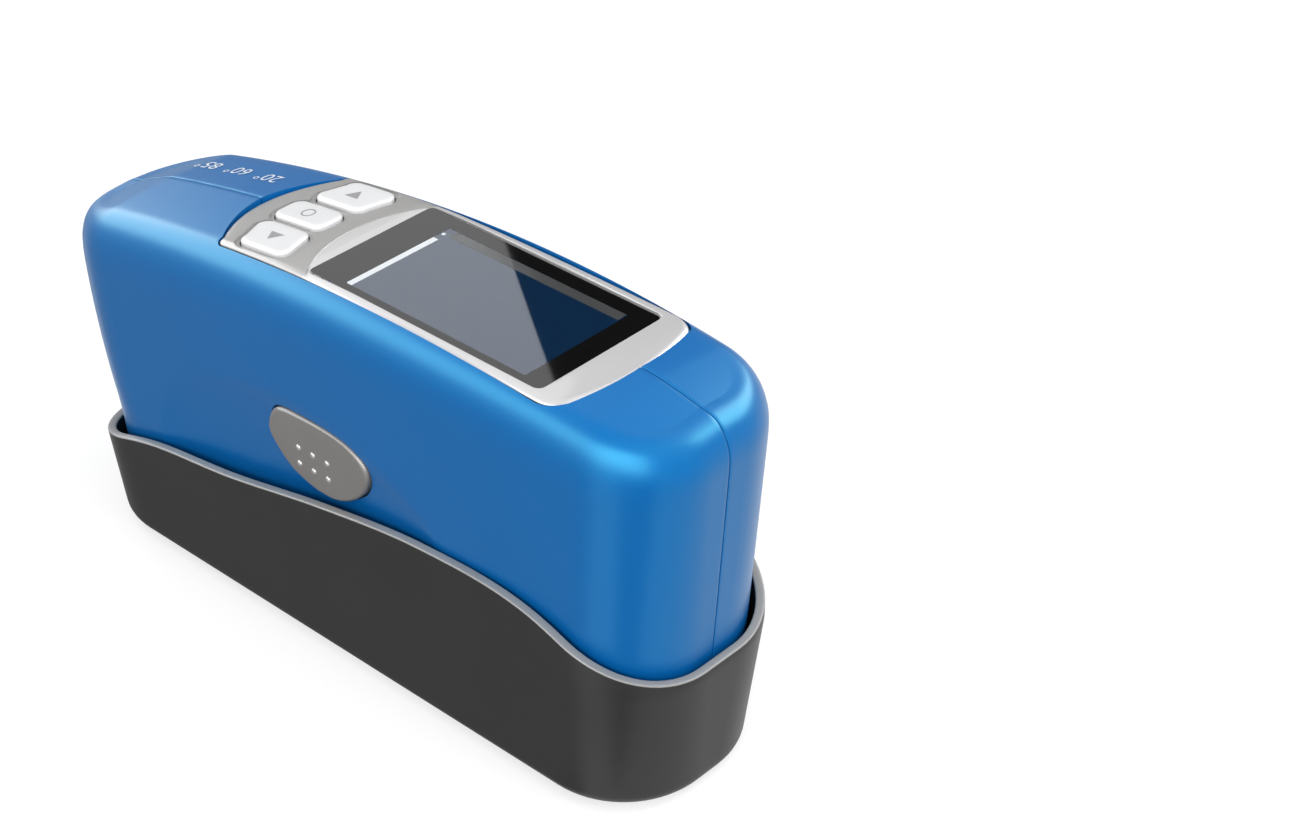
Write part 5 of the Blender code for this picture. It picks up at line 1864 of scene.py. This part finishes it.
@dataclass
class WindowCards:
    """A bright card and a black one that the window mirrors, split along a slanting line.

    Attributes:
        level: height of the mirroring face, mm.
        line: two places on that face where the cards' shared edge shows, mm.
        bright_side: a place on that face that mirrors the bright card, mm.
        reach: distance of the bright card, metres.
        behind: how much farther the black card hangs, metres.
        bright: strength of the bright card.
        glow: strength of the black card.
    """

    level: float = 81.1
    line: tuple[Point2, Point2] = ((14.5, 14.1), (51.5, -11.9))
    bright_side: Point2 = (-5.0, -15.0)
    reach: float = 1.0
    behind: float = 0.1
    bright: float = 1.5
    glow: float = 0.02

    def build(self, eye: Point3) -> None:
        """Hang both cards where a viewer's mirrored lines of sight meet them.

        Args:
            eye: the photograph's viewpoint, mm.
        """
        mirrored = Vector((eye[0], eye[1], 2 * self.level - eye[2])) * MM
        places = [Vector((x, y, self.level)) * MM for x, y in (*self.line, self.bright_side)]
        middle = (places[0] + places[1]) / 2
        facing = (middle - mirrored).normalized()

        def far(place: Vector, reach: float) -> Vector:
            """Where the mirrored line of sight through a place meets a card."""
            sight = (place - mirrored).normalized()
            return place + sight * (reach / sight.dot(facing))
        overhang = 0.2
        for name, reach, strength, back, depth in (
                ("window_card", self.reach, self.bright, 0.0, 0.35),
                ("window_flag", self.reach + self.behind, self.glow, 0.3, 0.5)):
            first, second, side = (far(place, reach) for place in places)
            along = (second - first).normalized()
            away = side - first
            away = (away - along * away.dot(along)).normalized()
            start = first - along * overhang - away * back
            end = second + along * overhang - away * back
            screen(name, (start, end, end + away * depth, start + away * depth), strength)


@dataclass
class Studio:
    """Pale floor, soft lights and even surroundings; metres here."""

    lamps: list[Lamp] = field(default_factory=lambda: [
        Lamp("overhead", (0.52, -0.23, 1.05), (0.9, 0.9), 5.6),
        Lamp("front_far", (0.50, 0.50, 0.85), (0.5, 0.5), 2.5),
        Lamp("near_front", (0.38, -0.88, 0.53), (0.6, 0.4), 5.6),
        Lamp("front", (0.94, 0.11, 0.55), (0.4, 0.4), 1.4),
        Lamp("rear", (-0.94, 0.11, 0.55), (0.5, 0.4), 1.2),
    ])
    cards: list[SkyCard] = field(default_factory=lambda: [
        SkyCard("rear_far_card", (105.0, 149.0), (0.0, 0.6), 0.3),
        SkyCard("rear_low_card", (149.0, 222.0), (0.0, 0.13), 0.45, 1.1),
        SkyCard("rear_left_card", (158.0, 225.0), (0.16, 0.85), 6.0),
        SkyCard("near_left_card", (225.0, 262.0), (0.12, 0.75), 5.0),
        SkyCard("near_front_card", (262.0, 320.0), (0.05, 0.95), 8.2),
        SkyCard("front_far_card", (38.0, 100.0), (0.50, 1.35), 9.0),
    ])
    floor_cards: list[FloorCard] = field(default_factory=lambda: [
        FloorCard("floor_left_card", ((-0.60, 0.0), (-0.60, -0.60), (-0.10, -0.60), (0.064, -0.021)), 0.38),
        FloorCard("floor_front_card", ((0.072, -0.0215), (0.21, -0.50), (0.51, -0.50), (0.51, -0.267)), 0.25),
        FloorCard("floor_rear_card", ((-0.10, 0.002), (-1.0, 0.002), (-1.0, 0.80), (-0.10, 0.12)), 0.5),
    ])
    floor_colour: Colour = (0.38, 0.38, 0.385)
    floor_lift: float = 0.67
    surround: float = 0.45

    @staticmethod
    def seen_straight(graph: NodeGraph, low: float, high: float) -> bpy.types.NodeSocket:
        """Strength for camera, mirror and glass rays, and another for the light itself.

        Args:
            graph: the node tree to add to.
            low: strength for the light.
            high: strength for what is seen straight, mirrored or through glass.

        Returns:
            The strength.
        """
        path = graph.add("ShaderNodeLightPath")
        share = path.outputs["Is Camera Ray"]
        for kind in ("Is Glossy Ray", "Is Transmission Ray"):
            either = graph.add("ShaderNodeMath", operation="MAXIMUM")
            graph.link(share, either.inputs[0])
            graph.link(path.outputs[kind], either.inputs[1])
            share = either.outputs[0]
        return graph.ramp(share, 0.0, 1.0, low, high)

    def floor(self) -> None:
        """Large white floor below the feet that keeps the object's shadow."""
        size = 6.0
        mesh = bpy.data.meshes.new("floor")
        mesh.from_pydata([(-size, -size, 0), (size, -size, 0), (size, size, 0), (-size, size, 0)], [],
                         [(0, 1, 2, 3)])
        obj = bpy.data.objects.new("floor", mesh)
        bpy.context.scene.collection.objects.link(obj)
        graph = NodeGraph("floor")
        soft = graph.noise(3.0, 2.0)
        dark = tuple(c * 0.985 for c in self.floor_colour)
        graph.link(graph.mix(soft, self.floor_colour, dark), graph.shader.inputs["Base Color"])
        graph.shader.inputs["Roughness"].default_value = 0.9
        graph.shader.inputs["Specular IOR Level"].default_value = 0.1
        graph.shader.inputs["Emission Color"].default_value = (1.0, 1.0, 1.0, 1.0)
        graph.link(self.seen_straight(graph, 0.0, self.floor_lift), graph.shader.inputs["Emission Strength"])
        mesh.materials.append(graph.material)
        obj.location.z = -0.0002

    def world(self) -> None:
        """Even surroundings that look white."""
        world = bpy.data.worlds.new("studio")
        world.use_nodes = True
        graph = NodeGraph.of(world.node_tree)
        background = graph.tree.nodes["Background"]
        background.inputs["Color"].default_value = (1.0, 1.0, 1.0, 1.0)
        graph.link(self.seen_straight(graph, self.surround, 1.0), background.inputs["Strength"])
        bpy.context.scene.world = world

    def build(self, camera: Camera) -> None:
        """Make the whole studio.

        Args:
            camera: the photograph's view, which the window's cards are set by.
        """
        self.floor()
        self.world()
        for lamp in self.lamps:
            lamp.build()
        for card in (*self.cards, *self.floor_cards):
            card.build()
        WindowCards().build(camera.place)
        bpy.context.scene.view_settings.view_transform = "Standard"


def main() -> None:
    """Build the dressed object and its studio in order."""
    logging.basicConfig(level=logging.INFO, format="%(message)s")
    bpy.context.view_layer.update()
    paints = Paintbox(Palette())
    Base(paints).build()
    Instrument(paints).build()
    Innards(paints).build()
    camera = Camera()
    camera.build()
    Studio().build(camera)


if __name__ == "__main__":
    main()
